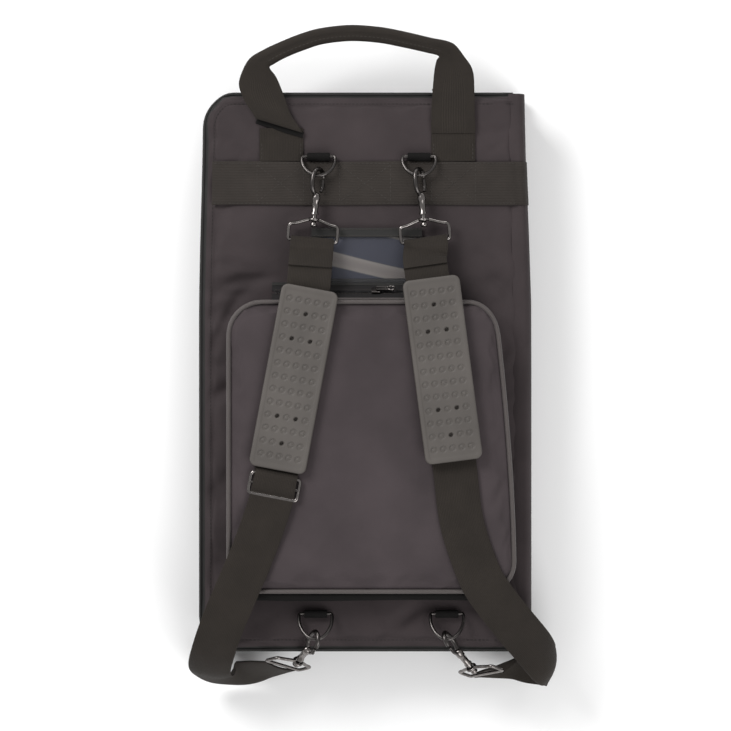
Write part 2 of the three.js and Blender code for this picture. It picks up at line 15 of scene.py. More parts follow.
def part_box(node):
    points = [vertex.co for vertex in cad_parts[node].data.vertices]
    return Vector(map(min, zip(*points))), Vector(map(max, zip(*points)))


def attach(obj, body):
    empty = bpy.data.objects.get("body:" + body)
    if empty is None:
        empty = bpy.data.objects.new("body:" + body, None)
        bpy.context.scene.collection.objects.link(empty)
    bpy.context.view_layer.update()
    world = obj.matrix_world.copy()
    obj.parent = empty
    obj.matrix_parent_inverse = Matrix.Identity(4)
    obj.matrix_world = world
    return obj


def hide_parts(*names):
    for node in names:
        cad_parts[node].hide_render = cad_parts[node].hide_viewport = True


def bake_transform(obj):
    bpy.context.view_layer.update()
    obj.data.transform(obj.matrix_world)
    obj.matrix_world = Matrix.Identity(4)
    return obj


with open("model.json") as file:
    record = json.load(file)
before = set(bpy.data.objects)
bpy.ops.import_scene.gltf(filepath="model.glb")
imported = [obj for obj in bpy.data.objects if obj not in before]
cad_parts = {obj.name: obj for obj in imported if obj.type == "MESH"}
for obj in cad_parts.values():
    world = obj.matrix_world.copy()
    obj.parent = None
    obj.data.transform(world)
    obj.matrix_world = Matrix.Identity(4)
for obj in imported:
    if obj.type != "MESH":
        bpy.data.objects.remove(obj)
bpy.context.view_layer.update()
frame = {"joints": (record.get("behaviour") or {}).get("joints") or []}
JOINTS = {j["name"]: j for j in frame["joints"]}
MM = 0.001
SIDES = ("left", "right")
UP = np.array([0.0, 0.0, 1.0])

# ---- Sizes in millimetres --------------------------------------------------------------------------
WEB_WIDE = 38
WEB_THICK = 1.7
WIRE = 1.45  # D-ring
RING_HALF = 14
UPPER_RING = {"reach": 18, "lift": 23}
LOWER_RING = {"reach": 25, "lift": 34}
HOOK = {"eye": 24, "half": 7.6, "wire": 1.9, "barrel": 17, "pin": 4.2, "pivot": (6.08, 3.4)}
LOOP = {"half": 21, "reach": 18.5, "wire": 1.45, "collar": 3.6}
PAD = {"wide": 49, "long": 158, "thick": 5, "rows": 13, "columns": 5}
ROLL = 7  # the covers' faces roll off this far
SEAM_INSET = 8.5  # from a cover's edge to its row of stitches


def arr(*values):
    return np.array(values, float)


def unit(v):
    v = np.asarray(v, float)
    return v / max(np.linalg.norm(v), 1e-12)


def box(node):
    """A CAD node's lowest and highest corners."""
    return np.array(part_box(node)) / MM


def place_of(joint):
    return np.array(JOINTS[joint]["pos_m"]) / MM


def axis_of(joint):
    return unit(JOINTS[joint]["axis"])


# ---- Materials -------------------------------------------------------------------------------------
class Look:
    """A Principled material under construction, with its texture coordinates."""

    def __init__(self, name, coordinates="Object"):
        self.material = bpy.data.materials.new(name)
        self.material.use_nodes = True
        self.nodes = self.material.node_tree.nodes
        self.links = self.material.node_tree.links
        self.shader = self.nodes["Principled BSDF"]
        self.place = self.nodes.new("ShaderNodeTexCoord").outputs[coordinates]

    def set(self, **values):
        for key, value in values.items():
            self.shader.inputs[key.replace("_", " ")].default_value = value

    def texture(self, kind, scale, stretch=(1, 1, 1), turn=0.0, **values):
        mapping = self.nodes.new("ShaderNodeMapping")
        mapping.inputs["Scale"].default_value = stretch
        mapping.inputs["Rotation"].default_value = (0, 0, turn)
        self.links.new(self.place, mapping.inputs["Vector"])
        node = self.nodes.new("ShaderNodeTex" + kind)
        node.inputs["Scale"].default_value = scale
        for key, value in values.items():
            if key in ("bands_direction", "wave_type", "feature"):
                setattr(node, key, value)
            else:
                node.inputs[key.replace("_", " ")].default_value = value
        self.links.new(mapping.outputs["Vector"], node.inputs["Vector"])
        return node.outputs["Fac"] if "Fac" in node.outputs else node.outputs[0]

    def math(self, operation, a, b):
        node = self.nodes.new("ShaderNodeMath")
        node.operation = operation
        for i, value in enumerate((a, b)):
            if isinstance(value, (int, float)):
                node.inputs[i].default_value = value
            else:
                self.links.new(value, node.inputs[i])
        return node.outputs[0]

    def ramp(self, fac, stops):
        node = self.nodes.new("ShaderNodeValToRGB")
        elements = node.color_ramp.elements
        while len(elements) < len(stops):
            elements.new(0.5)
        for element, (position, colour) in zip(elements, stops):
            element.position = position
            element.color = (*colour, 1)
        self.links.new(fac, node.inputs["Fac"])
        return node.outputs["Color"]

    def bump(self, height, strength, distance):
        node = self.nodes.new("ShaderNodeBump")
        node.inputs["Strength"].default_value = strength
        node.inputs["Distance"].default_value = distance
        self.links.new(height, node.inputs["Height"])
        self.links.new(node.outputs["Normal"], self.shader.inputs["Normal"])

    def mixed(self, a, share, b):
        return self.math("ADD", self.math("MULTIPLY", a, share), self.math("MULTIPLY", b, 1 - share))

    def paint(self, colour):
        self.links.new(colour, self.shader.inputs["Base Color"])

    def tint(self, fac, colour, *stops):
        """Paint shades of one colour: pairs of a position and a factor."""
        self.paint(self.ramp(fac, [(at, shade(colour, factor)) for at, factor in stops]))


def shade(colour, factor):
    return tuple(min(1.0, c * factor) for c in colour)


def woven(name, colour, yarn, depth=0.4, contrast=0.28, sheen=0.04, rough=0.8, coordinates="Object"):
    """Cloth of crossing yarns a given width apart in millimetres, a little worn and dusty."""
    look = Look(name, coordinates)
    rate = 0.5 / (yarn * MM)
    warp = look.texture("Wave", rate, bands_direction="X", Distortion=1.4, Detail=2.0)
    weft = look.texture("Wave", rate, bands_direction="Y", Distortion=1.4, Detail=2.0)
    weave = look.math("MAXIMUM", warp, weft)
    wear = look.texture("Noise", 18.0, Detail=5.0)
    look.tint(look.mixed(weave, 0.22, wear), colour, (0.3, 1 - contrast), (0.75, 1 + contrast))
    look.bump(weave, depth, 0.25 * yarn * MM)
    look.set(Roughness=rough, Sheen_Weight=sheen, Sheen_Roughness=0.4, Specular_IOR_Level=0.18)
    return look.material


def belt(name, colour, rib=2.2):
    """Webbing: ribs along its length crossed by fine picks."""
    look = Look(name, "UV")
    ribs = look.texture("Wave", 0.5 / (rib * MM), bands_direction="X", Distortion=0.2)
    picks = look.texture("Wave", 0.5 / (0.9 * MM), bands_direction="Y", Distortion=0.3)
    height = look.mixed(ribs, 0.6, picks)
    wear = look.texture("Noise", 40.0, Detail=4.0)
    look.tint(look.mixed(height, 0.5, wear), colour, (0.25, 0.72), (0.75, 1.3))
    look.bump(height, 0.7, 0.3 * MM)
    look.set(Roughness=0.78, Sheen_Weight=0.03, Specular_IOR_Level=0.15)
    return look.material


def plated(name, colour, rough=0.28):
    look = Look(name)
    wear = look.texture("Noise", 260.0, Detail=4.0)
    look.tint(wear, colour, (0.3, 0.8), (0.7, 1.15))
    look.bump(wear, 0.12, 0.1 * MM)
    look.set(Metallic=1.0, Roughness=rough)
    return look.material


def rubbery(name, colour, rough=0.62):
    look = Look(name)
    grain = look.texture("Noise", 900.0, Detail=3.0)
    dust = look.texture("Noise", 25.0, Detail=4.0)
    look.tint(dust, colour, (0.3, 0.85), (0.7, 1.1))
    look.bump(grain, 0.35, 0.15 * MM)
    look.set(Roughness=rough, Specular_IOR_Level=0.35)
    return look.material


def printed_card():
    """A plain navy card with broad grey bands."""
    look = Look("card")
    bands = look.texture("Wave", 9.0, stretch=(0.5, 1, 1), turn=0.35, bands_direction="Y", Distortion=2.2,
                         Detail=0.5)
    navy, grey, dark_grey = (0.02, 0.023, 0.042), (0.22, 0.2, 0.18), (0.17, 0.15, 0.14)
    look.paint(look.ramp(bands, [(0.0, navy), (0.7, navy), (0.8, grey), (1.0, dark_grey)]))
    look.set(Roughness=0.45)
    return look.material


def vinyl():
    look = Look("clear_vinyl")
    waves = look.texture("Noise", 12.0, Detail=1.0)
    look.bump(waves, 0.3, 1.2 * MM)
    look.set(Base_Color=(0.1, 0.1, 0.11, 1), Roughness=0.05, Alpha=0.12, IOR=1.4, Specular_IOR_Level=0.5)
    return look.material


NYLON = woven("nylon", (0.0376, 0.0296, 0.0308), 0.55)
POCKET_NYLON = woven("pocket_nylon", (0.048, 0.0384, 0.0408), 0.55)
LINING = woven("lining", (0.024, 0.0216, 0.024), 0.8, sheen=0.05)
TRIM = woven("trim", (0.0205, 0.02, 0.0193), 0.9, rough=0.6, sheen=0.03)
PIPING = woven("piping", (0.0736, 0.064, 0.0616), 0.9, rough=0.4, sheen=0.15, contrast=0.12)
# Near-black cloth used as painted shade: the pocket's bottom roll, the strip under the handle's left leg and the
# D-ring tabs.
DARK = woven("painted_shade_cloth", (0.0045, 0.004, 0.0038), 0.7, sheen=0.0, rough=0.9)
TAPE = woven("zip_tape", (0.0135, 0.0125, 0.0128), 0.7, sheen=0.02)
WEBBING = belt("webbing", (0.0216, 0.0176, 0.0144))
BAND = belt("band_webbing", (0.0296, 0.0248, 0.0216))
STITCH = woven("thread", (0.042, 0.037, 0.033), 0.3, rough=0.6)
DARK_STITCH = woven("dark_thread", (0.0128, 0.0112, 0.0104), 0.3, rough=0.6)
COIL = rubbery("coil_nylon", (0.0128, 0.012, 0.0128))
METAL = plated("dark_nickel", (0.085, 0.078, 0.075))
BRIGHT = plated("worn_nickel", (0.19, 0.175, 0.168), 0.22)
RUBBER = rubbery("pad_rubber", (0.0792, 0.0704, 0.064))
CARD = printed_card()
VINYL = vinyl()


# ---- The slack outline -----------------------------------------------------------------------------
def eased(t):
    t = np.clip(t, 0, 1)
    return t * t * (3 - 2 * t)


def slack(points):
    """The bag draws in a little towards its top, more on the spine side."""
    p = np.array(points, float).reshape(-1, 3)
    rise = eased((p[:, 1] - 40) / 200)
    p[:, 0] += rise * (3.5 * eased((-p[:, 0] - 112) / 24) - 6.0 * eased((p[:, 0] - 112) / 24))
    return p


def pocket_slack(points):
    """The pocket's spine side runs slanting, in towards its top."""
    p = np.array(points, float).reshape(-1, 3)
    up = np.clip((p[:, 1] + 162) / 198, 0, 1) ** 1.6
    p[:, 0] += (2.0 - 14.0 * up) * np.clip((p[:, 0] - 4) / 120, 0, 1)
    return p


# ---- Meshes ----------------------------------------------------------------------------------------
def make(name, points, faces, look, body=None, stands_for=(), uv=None, angle=40.0):
    """A smooth-shaded mesh from points in millimetres, riding on a body."""
    data = bpy.data.meshes.new(name)
    warp = pocket_slack if name.startswith("pocket_") and "zip" not in name and "pull" not in name else slack
    data.from_pydata((warp(points) * MM).tolist(), [], faces)
    if uv is not None:
        layer = data.uv_layers.new(name="UVMap")
        layer.data.foreach_set("uv", (np.asarray(uv) * MM).ravel())
    build = bmesh.new()
    build.from_mesh(data)
    bmesh.ops.recalc_face_normals(build, faces=build.faces)
    build.to_mesh(data)
    build.free()
    data.shade_smooth()
    data.set_sharp_from_angle(angle=math.radians(angle))
    data.materials.append(look)
    piece = bpy.data.objects.new(name, data)
    bpy.context.scene.collection.objects.link(piece)
    if stands_for:
        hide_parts(*stands_for)
    if body:
        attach(piece, body)
    return piece


def walked(path):
    """The distance along a path to each of its points."""
    return np.concatenate([[0], np.cumsum(np.linalg.norm(np.diff(path, axis=0), axis=1))])


def sample(rows, walk, wanted):
    """Rows read at the wanted distances along their path."""
    return np.stack([np.interp(wanted, walk, column) for column in np.asarray(rows).T], axis=-1)


def grid(index):
    """The faces between a table's neighbouring vertex numbers."""
    corners = (index[:-1, :-1], index[:-1, 1:], index[1:, 1:], index[1:, :-1])
    return np.stack(corners, axis=-1).reshape(-1, 4).tolist()


def border_of(index):
    """The vertex numbers round a table's edge."""
    return [int(v) for v in (*index[0], *index[1:, -1], *index[-1, :-1][::-1], *index[1:-1, 0][::-1])]


def skirt(ring, other):
    """The faces between two loops of vertex numbers."""
    return [(a, b, d, c) for a, b, c, d in zip(ring, ring[1:] + ring[:1], other, other[1:] + other[:1])]


def spline(points, step, closed=False):
    """Points every step along a smooth curve through the given rows. The first three columns are the place."""
    rows = np.asarray(points, float)
    if closed:
        rows = np.vstack([rows[-2:], rows, rows[:2]])
    else:
        rows = np.vstack([2 * rows[0] - rows[1], rows, 2 * rows[-1] - rows[-2]])
    gaps = np.sqrt(np.linalg.norm(np.diff(rows[:, :3], axis=0), axis=1)) + 1e-9
    t = np.concatenate([[0], np.cumsum(gaps)])
    first, last = (2, len(rows) - 2) if closed else (1, len(rows) - 2)
    made = []
    for i in range(first, last):
        here = (rows[i + 1] - rows[i - 1]) / (t[i + 1] - t[i - 1])
        there = (rows[i + 2] - rows[i]) / (t[i + 2] - t[i])
        span = t[i + 1] - t[i]
        u = np.linspace(0, 1, 24, endpoint=False)[:, None]
        made.append(
            (2 * u**3 - 3 * u**2 + 1) * rows[i]
            + (u**3 - 2 * u**2 + u) * span * here
            + (3 * u**2 - 2 * u**3) * rows[i + 1]
            + (u**3 - u**2) * span * there
        )
    fine = np.vstack([*made, rows[last][None]])
    run = walked(fine[:, :3])
    count = max(int(run[-1] / step), 3)
    wanted = np.linspace(0, run[-1], count + 1)
    if closed:
        wanted = wanted[:-1]
    return sample(fine, run, wanted)


def runs(path, closed=False):
    """The unit direction at each point of a path."""
    if closed:
        ahead = np.roll(path, -1, axis=0) - np.roll(path, 1, axis=0)
    else:
        ahead = np.gradient(path, axis=0)
    return ahead / np.maximum(np.linalg.norm(ahead, axis=1, keepdims=True), 1e-12)


def swept(path, across, over, sections, closed=False):
    """Points, faces and texture places of closed sections swept along a path.

    Across and over are directions, one for the whole path or one for each of its points.
    """
    across, over = np.broadcast_to(across, path.shape), np.broadcast_to(over, path.shape)
    count, sides = len(path), sections.shape[-2]
    sections = np.broadcast_to(sections, (count, sides, 2))
    points = path[:, None] + sections[..., :1] * across[:, None] + sections[..., 1:] * over[:, None]
    faces, uv = [], []
    length = walked(path)
    loop = np.vstack([sections[0], sections[0][:1]])
    girth = walked(loop)
    for i in range(count if closed else count - 1):
        j = (i + 1) % count
        v0, v1 = length[i], length[i + 1] if i + 1 < count else length[-1]
        for k in range(sides):
            m = (k + 1) % sides
            faces.append((i * sides + k, i * sides + m, j * sides + m, j * sides + k))
            uv += [(girth[k], v0), (girth[k + 1], v0), (girth[k + 1], v1), (girth[k], v1)]
    if not closed:
        for start in (0, (count - 1) * sides):
            faces.append(tuple(range(start, start + sides)))
            uv += [(girth[k], 0) for k in range(sides)]
    return points.reshape(-1, 3), faces, uv


def superellipse(half, deep, square, sides=20):
    """A rounded section. Square is 1 for an ellipse and near 0 for a box."""
    turn = (np.arange(sides) + 0.5) / sides * 2 * math.pi
    c, s = np.cos(turn), np.sin(turn)
    return np.stack([half * np.sign(c) * np.abs(c) ** square, deep * np.sign(s) * np.abs(s) ** square], axis=1)


def belt_section(wide=WEB_WIDE, thick=WEB_THICK, bow=0.0):
    """A strap's section: flat faces, thin rounded edges and a slight bow."""
    half, deep = wide / 2, thick / 2
    flat = np.linspace(-half + deep, half - deep, 9)
    rise = bow * (1 - (flat / half) ** 2)
    top = np.stack([flat[::-1], rise[::-1] + deep], axis=1)
    bottom = np.stack([flat, rise - deep], axis=1)
    return np.vstack([[[half - deep * 0.3, deep * 0.6]], top, [[-half + deep * 0.3, deep * 0.6]],
                      [[-half + deep * 0.3, -deep * 0.6]], bottom, [[half - deep * 0.3, -deep * 0.6]]])


def tube(name, path, radius, look, body, stands_for=(), closed=False, sides=12, flat=1.0):
    """A round wire or cord along a path of any shape."""
    run = runs(path, closed)
    across = np.zeros_like(path)
    seed = UP if abs(run[0] @ UP) < 0.9 else arr(1, 0, 0)
    last = unit(np.cross(run[0], seed))
    for i, forward in enumerate(run):
        last = unit(last - forward * (last @ forward))
        across[i] = last
    over = np.cross(run, across)
    turn = np.arange(sides) / sides * 2 * math.pi
    section = np.stack([radius * np.cos(turn), radius * flat * np.sin(turn)], axis=1)
    points, faces, uv = swept(path, across, over, section, closed)
    return make(name, points, faces, look, body, stands_for, uv, 60)


def strip_frame(path, across):
    run = runs(path)
    across = across - run * np.sum(across * run, axis=1, keepdims=True)
    across /= np.linalg.norm(across, axis=1, keepdims=True)
    return run, across, np.cross(across, run)


def strip(name, path, across, look, body, stands_for=(), wide=WEB_WIDE, thick=WEB_THICK, bow=0.0):
    """Webbing along a path, with the direction across it at each point and its bow, one or one per point."""
    _, side, over = strip_frame(path, across)
    sections = np.array([belt_section(wide, thick, b) for b in np.broadcast_to(bow, len(path))])
    points, faces, uv = swept(path, side, over, sections)
    return make(name, points, faces, look, body, stands_for, uv)


class Seat:
    """A local frame in millimetres: where a piece sits and how it is turned."""

    def __init__(self, at, x, y):
        self.at = np.asarray(at, float)
        self.x = unit(x)
        self.y = unit(np.asarray(y, float) - self.x * (np.asarray(y, float) @ self.x))
        self.z = np.cross(self.x, self.y)

    def out(self, points):
        p = np.asarray(points, float)
        z = p[..., 2:3] if p.shape[-1] > 2 else 0.0
        return self.at + p[..., :1] * self.x + p[..., 1:2] * self.y + z * self.z


def lathe(name, profile, seat, look, body, stands_for=(), sides=24):
    """A turned piece about the seat's Y axis from [radius, height] pairs."""
    turn = np.arange(sides) / sides * 2 * math.pi
    points, faces = [], []
    for radius, height in profile:
        points += [(radius * math.cos(a), height, radius * math.sin(a)) for a in turn]
    for i in range(len(profile) - 1):
        for k in range(sides):
            m = (k + 1) % sides
            faces.append((i * sides + k, i * sides + m, (i + 1) * sides + m, (i + 1) * sides + k))
    faces += [tuple(range(sides)), tuple(range((len(profile) - 1) * sides, len(profile) * sides))]
    return make(name, seat.out(points), faces, look, body, stands_for, None, 50)


def block(name, seat, size, look, body, stands_for=(), soft=1.0, place=(0, 0, 0)):
    """A box with rounded edges, its size and its centre in the seat's frame."""
    build = bmesh.new()
    bmesh.ops.create_cube(build, size=1.0)
    for vert in build.verts:
        vert.co = Vector([c * s for c, s in zip(vert.co, size)])
    bmesh.ops.bevel(build, geom=build.edges[:], offset=soft, segments=3, profile=0.6, affect="EDGES")
    build.verts.ensure_lookup_table()
    points = seat.out([arr(*v.co) + arr(*place) for v in build.verts])
    faces = [tuple(v.index for v in f.verts) for f in build.faces]
    build.free()
    return make(name, points, faces, look, body, stands_for, None, 60)


def stitches(name, lines, look, body, long=2.6, pitch=3.6, wide=0.55, normal=UP):
    """Rows of thread stitches along lines of points, lying on a surface with one normal."""
    points, faces = [], []
    for line in lines:
        line = np.asarray(line, float)
        run = walked(line)
        for start in np.arange(0.5, run[-1] - long, pitch):
            a, b = (sample(line, run, start + d) for d in (0, long))
            side = unit(np.cross(normal, b - a)) * wide / 2
            lift = np.asarray(normal, float) * wide * 0.55
            base = len(points)
            points += [a, a + (b - a) * 0.2 + side, b - (b - a) * 0.2 + side, b, b - (b - a) * 0.2 - side,
                       a + (b - a) * 0.2 - side, a + (b - a) * 0.3 + lift, b - (b - a) * 0.3 + lift]
            faces += [tuple(base + i for i in f) for f in
                      ((0, 1, 6), (1, 2, 7, 6), (2, 3, 7), (3, 4, 7), (4, 5, 6, 7), (5, 0, 6), (5, 4, 3, 2, 1, 0))]
    return make(name, points, faces, look, body, (), None, 80)


# ---- Outlines --------------------------------------------------------------------------------------
class Outline:
    """A rounded rectangle. Radii: top left, top right, bottom left, bottom right."""

    def __init__(self, left, bottom, right, top, radii):
        self.left, self.bottom, self.right, self.top, self.radii = left, bottom, right, top, radii

    def inset(self, d):
        return Outline(self.left + d, self.bottom + d, self.right - d, self.top - d,
                       [max(r - d, 0.5) for r in self.radii])

    def depth(self, x, y):
        """How far points are in from the outline."""
        cx, cy = (self.left + self.right) / 2, (self.bottom + self.top) / 2
        tl, tr, bl, br = self.radii
        r = np.where(x < cx, np.where(y > cy, tl, bl), np.where(y > cy, tr, br))
        qx = np.abs(x - cx) - (self.right - self.left) / 2 + r
        qy = np.abs(y - cy) - (self.top - self.bottom) / 2 + r
        return r - np.minimum(np.maximum(qx, qy), 0) - np.hypot(np.maximum(qx, 0), np.maximum(qy, 0))

    def ends(self, y):
        """The outline's left and right x at height y."""
        tl, tr, bl, br = self.radii

        def bite(r, away):
            reach = np.clip(r - away, 0, r)
            return r - math.sqrt(max(r * r - reach * reach, 0))

        left = self.left + max(bite(tl, self.top - y), bite(bl, y - self.bottom))
        right = self.right - max(bite(tr, self.top - y), bite(br, y - self.bottom))
        return left, right

    def path(self, start=0, stop=4, step=5.0, tail=0.0):
        """Points and outward directions from corner start to corner stop, clockwise from the top right."""
        tl, tr, bl, br = self.radii
        corners = [
            (self.right - tr, self.top - tr, tr, 90),
            (self.left + tl, self.top - tl, tl, 90),
            (self.left + bl, self.bottom + bl, bl, 180),
            (self.right - br, self.bottom + br, br, 270),
            (self.right - tr, self.top - tr, tr, 0),
        ]
        points, normals = [], []
        for i in range(start, stop + 1):
            cx, cy, r, angle = corners[i]
            arc = [angle] if i == start or (i == stop and stop < 4) else np.linspace(angle, angle + 90, 10)
            for a in np.radians(arc):
                points.append([cx + r * math.cos(a), cy + r * math.sin(a)])
                normals.append([math.cos(a), math.sin(a)])
        points, normals = np.array(points), np.array(normals)
        if tail:
            points[0, 0] += tail
            points[-1, 0] += tail
        run = walked(points)
        keep = np.unique(np.concatenate([run, np.arange(0, run[-1], step)]))
        made = [sample(rows, run, keep) for rows in (points, normals)]
        made[1] /= np.linalg.norm(made[1], axis=1, keepdims=True)
        return made


def raised(flat, z):
    """Points of the plane at one level."""
    return np.column_stack([flat, np.full(len(flat), float(z))])


def rim(name, outline, section, z, look, body, stands_for=(), closed=False, span=(0, 3), tail=0.0, step=5.0):
    """A section of [outwards, upwards] pairs run round an outline at level z."""
    flat, normals = outline.path(*(span if not closed else (0, 4)), step=step, tail=tail)
    if closed:
        flat, normals = flat[:-1], normals[:-1]
    path = raised(flat, z)
    points, faces, uv = swept(path, raised(normals, 0), UP, np.asarray(section, float), closed)
    return make(name, points, faces, look, body, stands_for, uv, 50)


# ---- Soft panels -----------------------------------------------------------------------------------
def crease(x, y, px, py, turn, long, thin, curl):
    """The shape of one fold through a place, 1 high and fading along and across it."""
    along = (x - px) * math.cos(turn) + (y - py) * math.sin(turn)
    aside = -(x - px) * math.sin(turn) + (y - py) * math.cos(turn) + curl * along**2
    return np.exp(-((along / long) ** 2) - (aside / thin) ** 2)


def creases(x, y, outline, count, depth, seed):
    """Soft folds scattered over a panel, most of them near its edges."""
    rng = np.random.default_rng(seed)
    wide, tall = outline.right - outline.left, outline.top - outline.bottom
    rise = np.zeros_like(x)
    for _ in range(count):
        edge = rng.random() < 0.55
        px = outline.left + wide * (rng.choice([0.06, 0.93]) if edge else rng.random())
        py = outline.bottom + tall * rng.random()
        turn = rng.normal(0.25, 0.45) if edge else rng.uniform(0, math.pi)
        long, thin = rng.uniform(14, 55), rng.uniform(3.2, 8)
        curl = 0.004 * rng.normal()
        rise += rng.uniform(-1, 0.55) * depth * crease(x, y, px, py, turn, long, thin, curl)
    return rise


# Where the cloth strains on the back: x, y, degrees, half length, half width, rise.
STRAINS = [
    (-112, 193, -26, 24, 2.8, -1.9), (-106, 184, -28, 20, 2.6, -1.6), (-118, 180, -20, 14, 2.6, -1.4),
    (-108, 196, -24, 20, 2.6, 0.8), (-112, 92, -2, 22, 3.0, -2.6), (-104, 79, 9, 26, 3.2, -2.8),
    (-114, 67, -5, 18, 2.8, -2.4), (-100, 70, 2, 18, 2.6, 0.8), (-121, 44, 62, 22, 3.2, -1.6),
    (112, 92, -38, 20, 3.4, -2.0), (120, 74, -42, 22, 3.6, -2.8), (126, 52, -30, 18, 3.2, -2.2),
    (104, 68, -30, 20, 3.0, 0.8), (124, 100, -60, 16, 3.0, -1.6), (60, 216, -4, 36, 3.4, -1.2),
    (-20, 222, 3, 40, 3.6, -1.3), (20, 140, 6, 28, 3.2, -1.2), (-60, 140, -8, 22, 3.0, -1.3),
    (-40, -212, 4, 44, 3.2, -1.4), (60, -214, -6, 36, 3.4, -1.5), (-90, -214, 32, 20, 3.0, -1.8),
    (-126, -120, 84, 40, 3.0, -1.5), (-124, 0, 88, 36, 3.0, -1.4),
]


def strained(x, y):
    """The strain folds' rise at each point."""
    rise = np.zeros_like(x)
    for px, py, angle, long, thin, height in STRAINS:
        rise += height * crease(x, y, px, py, math.radians(angle), long, thin, 0.003)
    return rise


def fitted(outline, shares, heights):
    """A table of points filling an outline, rows at the heights, and how far in from it each one is."""
    ends = np.array([outline.ends(y) for y in heights])
    x = ends[:, :1] + (ends[:, 1:] - ends[:, :1]) * shares[None]
    y = np.repeat(heights[:, None], len(shares), axis=1)
    return x, y, np.clip(outline.depth(x, y), 0, None)


def panel(name, outline, face, out, thick, roll, look, body, stands_for, seed,
          folds=40, fold_depth=1.1, grow=0.012, cap=2.0, cell=4.4, sag=0.8, groove=0.0, tape=0.0):
    """A padded panel whose skin faces out (+1 up, -1 down): its skin is simulated as cloth over its padding."""
    edge = np.array([0, 0.7, 1.8, 3.2, 4.4, 6, 7.2, 8.4, 9.6, 11.5])
    inner = np.linspace(edge[-1], -edge[-1] + outline.right - outline.left,
                        int((outline.right - outline.left) / cell))
    wide = outline.right - outline.left
    u = np.concatenate([edge[:-1], inner, (wide - edge[:-1])[::-1]]) / wide
    r = max(outline.radii)
    arc = r * (1 - np.cos(np.linspace(0, math.pi / 2, 10)))
    arc = np.unique(np.concatenate([arc, edge[edge < r]]))
    arc = arc[np.concatenate([[True], np.diff(arc) > 0.45])]
    rows = np.linspace(outline.bottom + r, outline.top - r, int((outline.top - outline.bottom - 2 * r) / cell))
    y_rows = np.concatenate([outline.bottom + arc[:-1], rows, (outline.top - arc[:-1])[::-1]])
    x, y, d = fitted(outline, u, y_rows)
    near = np.clip(1 - d / roll, 0, 1)
    drop = roll * (1 - np.sqrt(np.clip(1 - near**2, 0, 1)))
    ny, nx = x.shape
    rest = (sag + drop * (1 - sag / roll)) if roll > sag else drop
    top = np.stack([x, y, face - out * rest], axis=2)
    border = np.zeros((ny, nx), bool)
    border[[0, -1], :] = True
    border[:, [0, -1]] = True
    index = np.arange(ny * nx).reshape(ny, nx)
    under = index.copy()
    under[~border] = ny * nx + np.arange((~border).sum())
    back = np.stack([x, y, np.full_like(x, face - out * thick)], axis=2)[~border]
    points = np.vstack([top.reshape(-1, 3), back])
    faces, lining = [], []
    for i in range(ny - 1):
        for j in range(nx - 1):
            faces.append((index[i, j], index[i, j + 1], index[i + 1, j + 1], index[i + 1, j]))
            flat = [under[i, j], under[i + 1, j], under[i + 1, j + 1], under[i, j + 1]]
            if not all(border[a, b] for a, b in ((i, j), (i + 1, j), (i + 1, j + 1), (i, j + 1))):
                faces.append(tuple(flat))
                lining.append(len(faces) - 1)
    piece = make(name, points, [tuple(int(v) for v in f) for f in faces], look, None, stands_for, None, 180)
    piece.data.materials.append(LINING)
    for f in lining:
        piece.data.polygons[f].material_index = 1
    if tape:
        piece.data.materials.append(TRIM)
        wide_open = Outline(outline.left, outline.bottom, outline.right + 60, outline.top, outline.radii)
        for face_number, corners in enumerate(faces):
            if all(c < ny * nx for c in corners):
                cx, cy = points[list(corners)].mean(0)[:2]
                if wide_open.depth(np.array(cx), np.array(cy)) < tape:
                    piece.data.polygons[face_number].material_index = 2
    free = np.zeros(len(points), bool)
    free[: ny * nx] = ~border.ravel()
    start = np.array([v.co for v in piece.data.vertices]) / MM
    co = simulate(piece, free, grow)
    shift = np.zeros_like(co)
    shift[free] = (co - start)[free]
    flat_shift = np.clip(shift[:, :2], -1.5, 1.5)
    rise = np.clip(shift[:, 2] * out, -cap, cap)
    where = free[: ny * nx].reshape(ny, nx)
    soft = creases(x, y, outline, folds, fold_depth, seed)
    broad = np.array([noise.noise(Vector((a * 0.014, b * 0.02, seed))) for a, b in zip(x.ravel(), y.ravel())])
    soft += 1.1 * broad.reshape(ny, nx)
    if name == "back_panel":
        soft += 1.5 * strained(x, y)
    if outline is COVER:
        soft *= np.clip((SPINE_X - 13 - x) / 9, 0, 1)
    soft -= groove * np.exp(-(((d - SEAM_INSET) / 1.1) ** 2))
    fade = np.clip(d / 8, 0, 1)
    rise[: ny * nx] += (soft * fade * where).ravel()
    final = start.copy()
    final[:, :2] += flat_shift
    rest_full = np.concatenate([rest.ravel(), np.zeros(len(points) - ny * nx)])
    floor = np.minimum(rest_full - (thick - 0.8), 0)
    final[free, 2] += out * np.clip(rise, floor, sag)[free]
    piece.data.vertices.foreach_set("co", (final * MM).ravel())
    piece.data.update()
    smooth = piece.modifiers.new("soft", "SUBSURF")
    smooth.levels = smooth.render_levels = 1
    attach(piece, body)
    return piece


CLOTH_FRAMES = 20


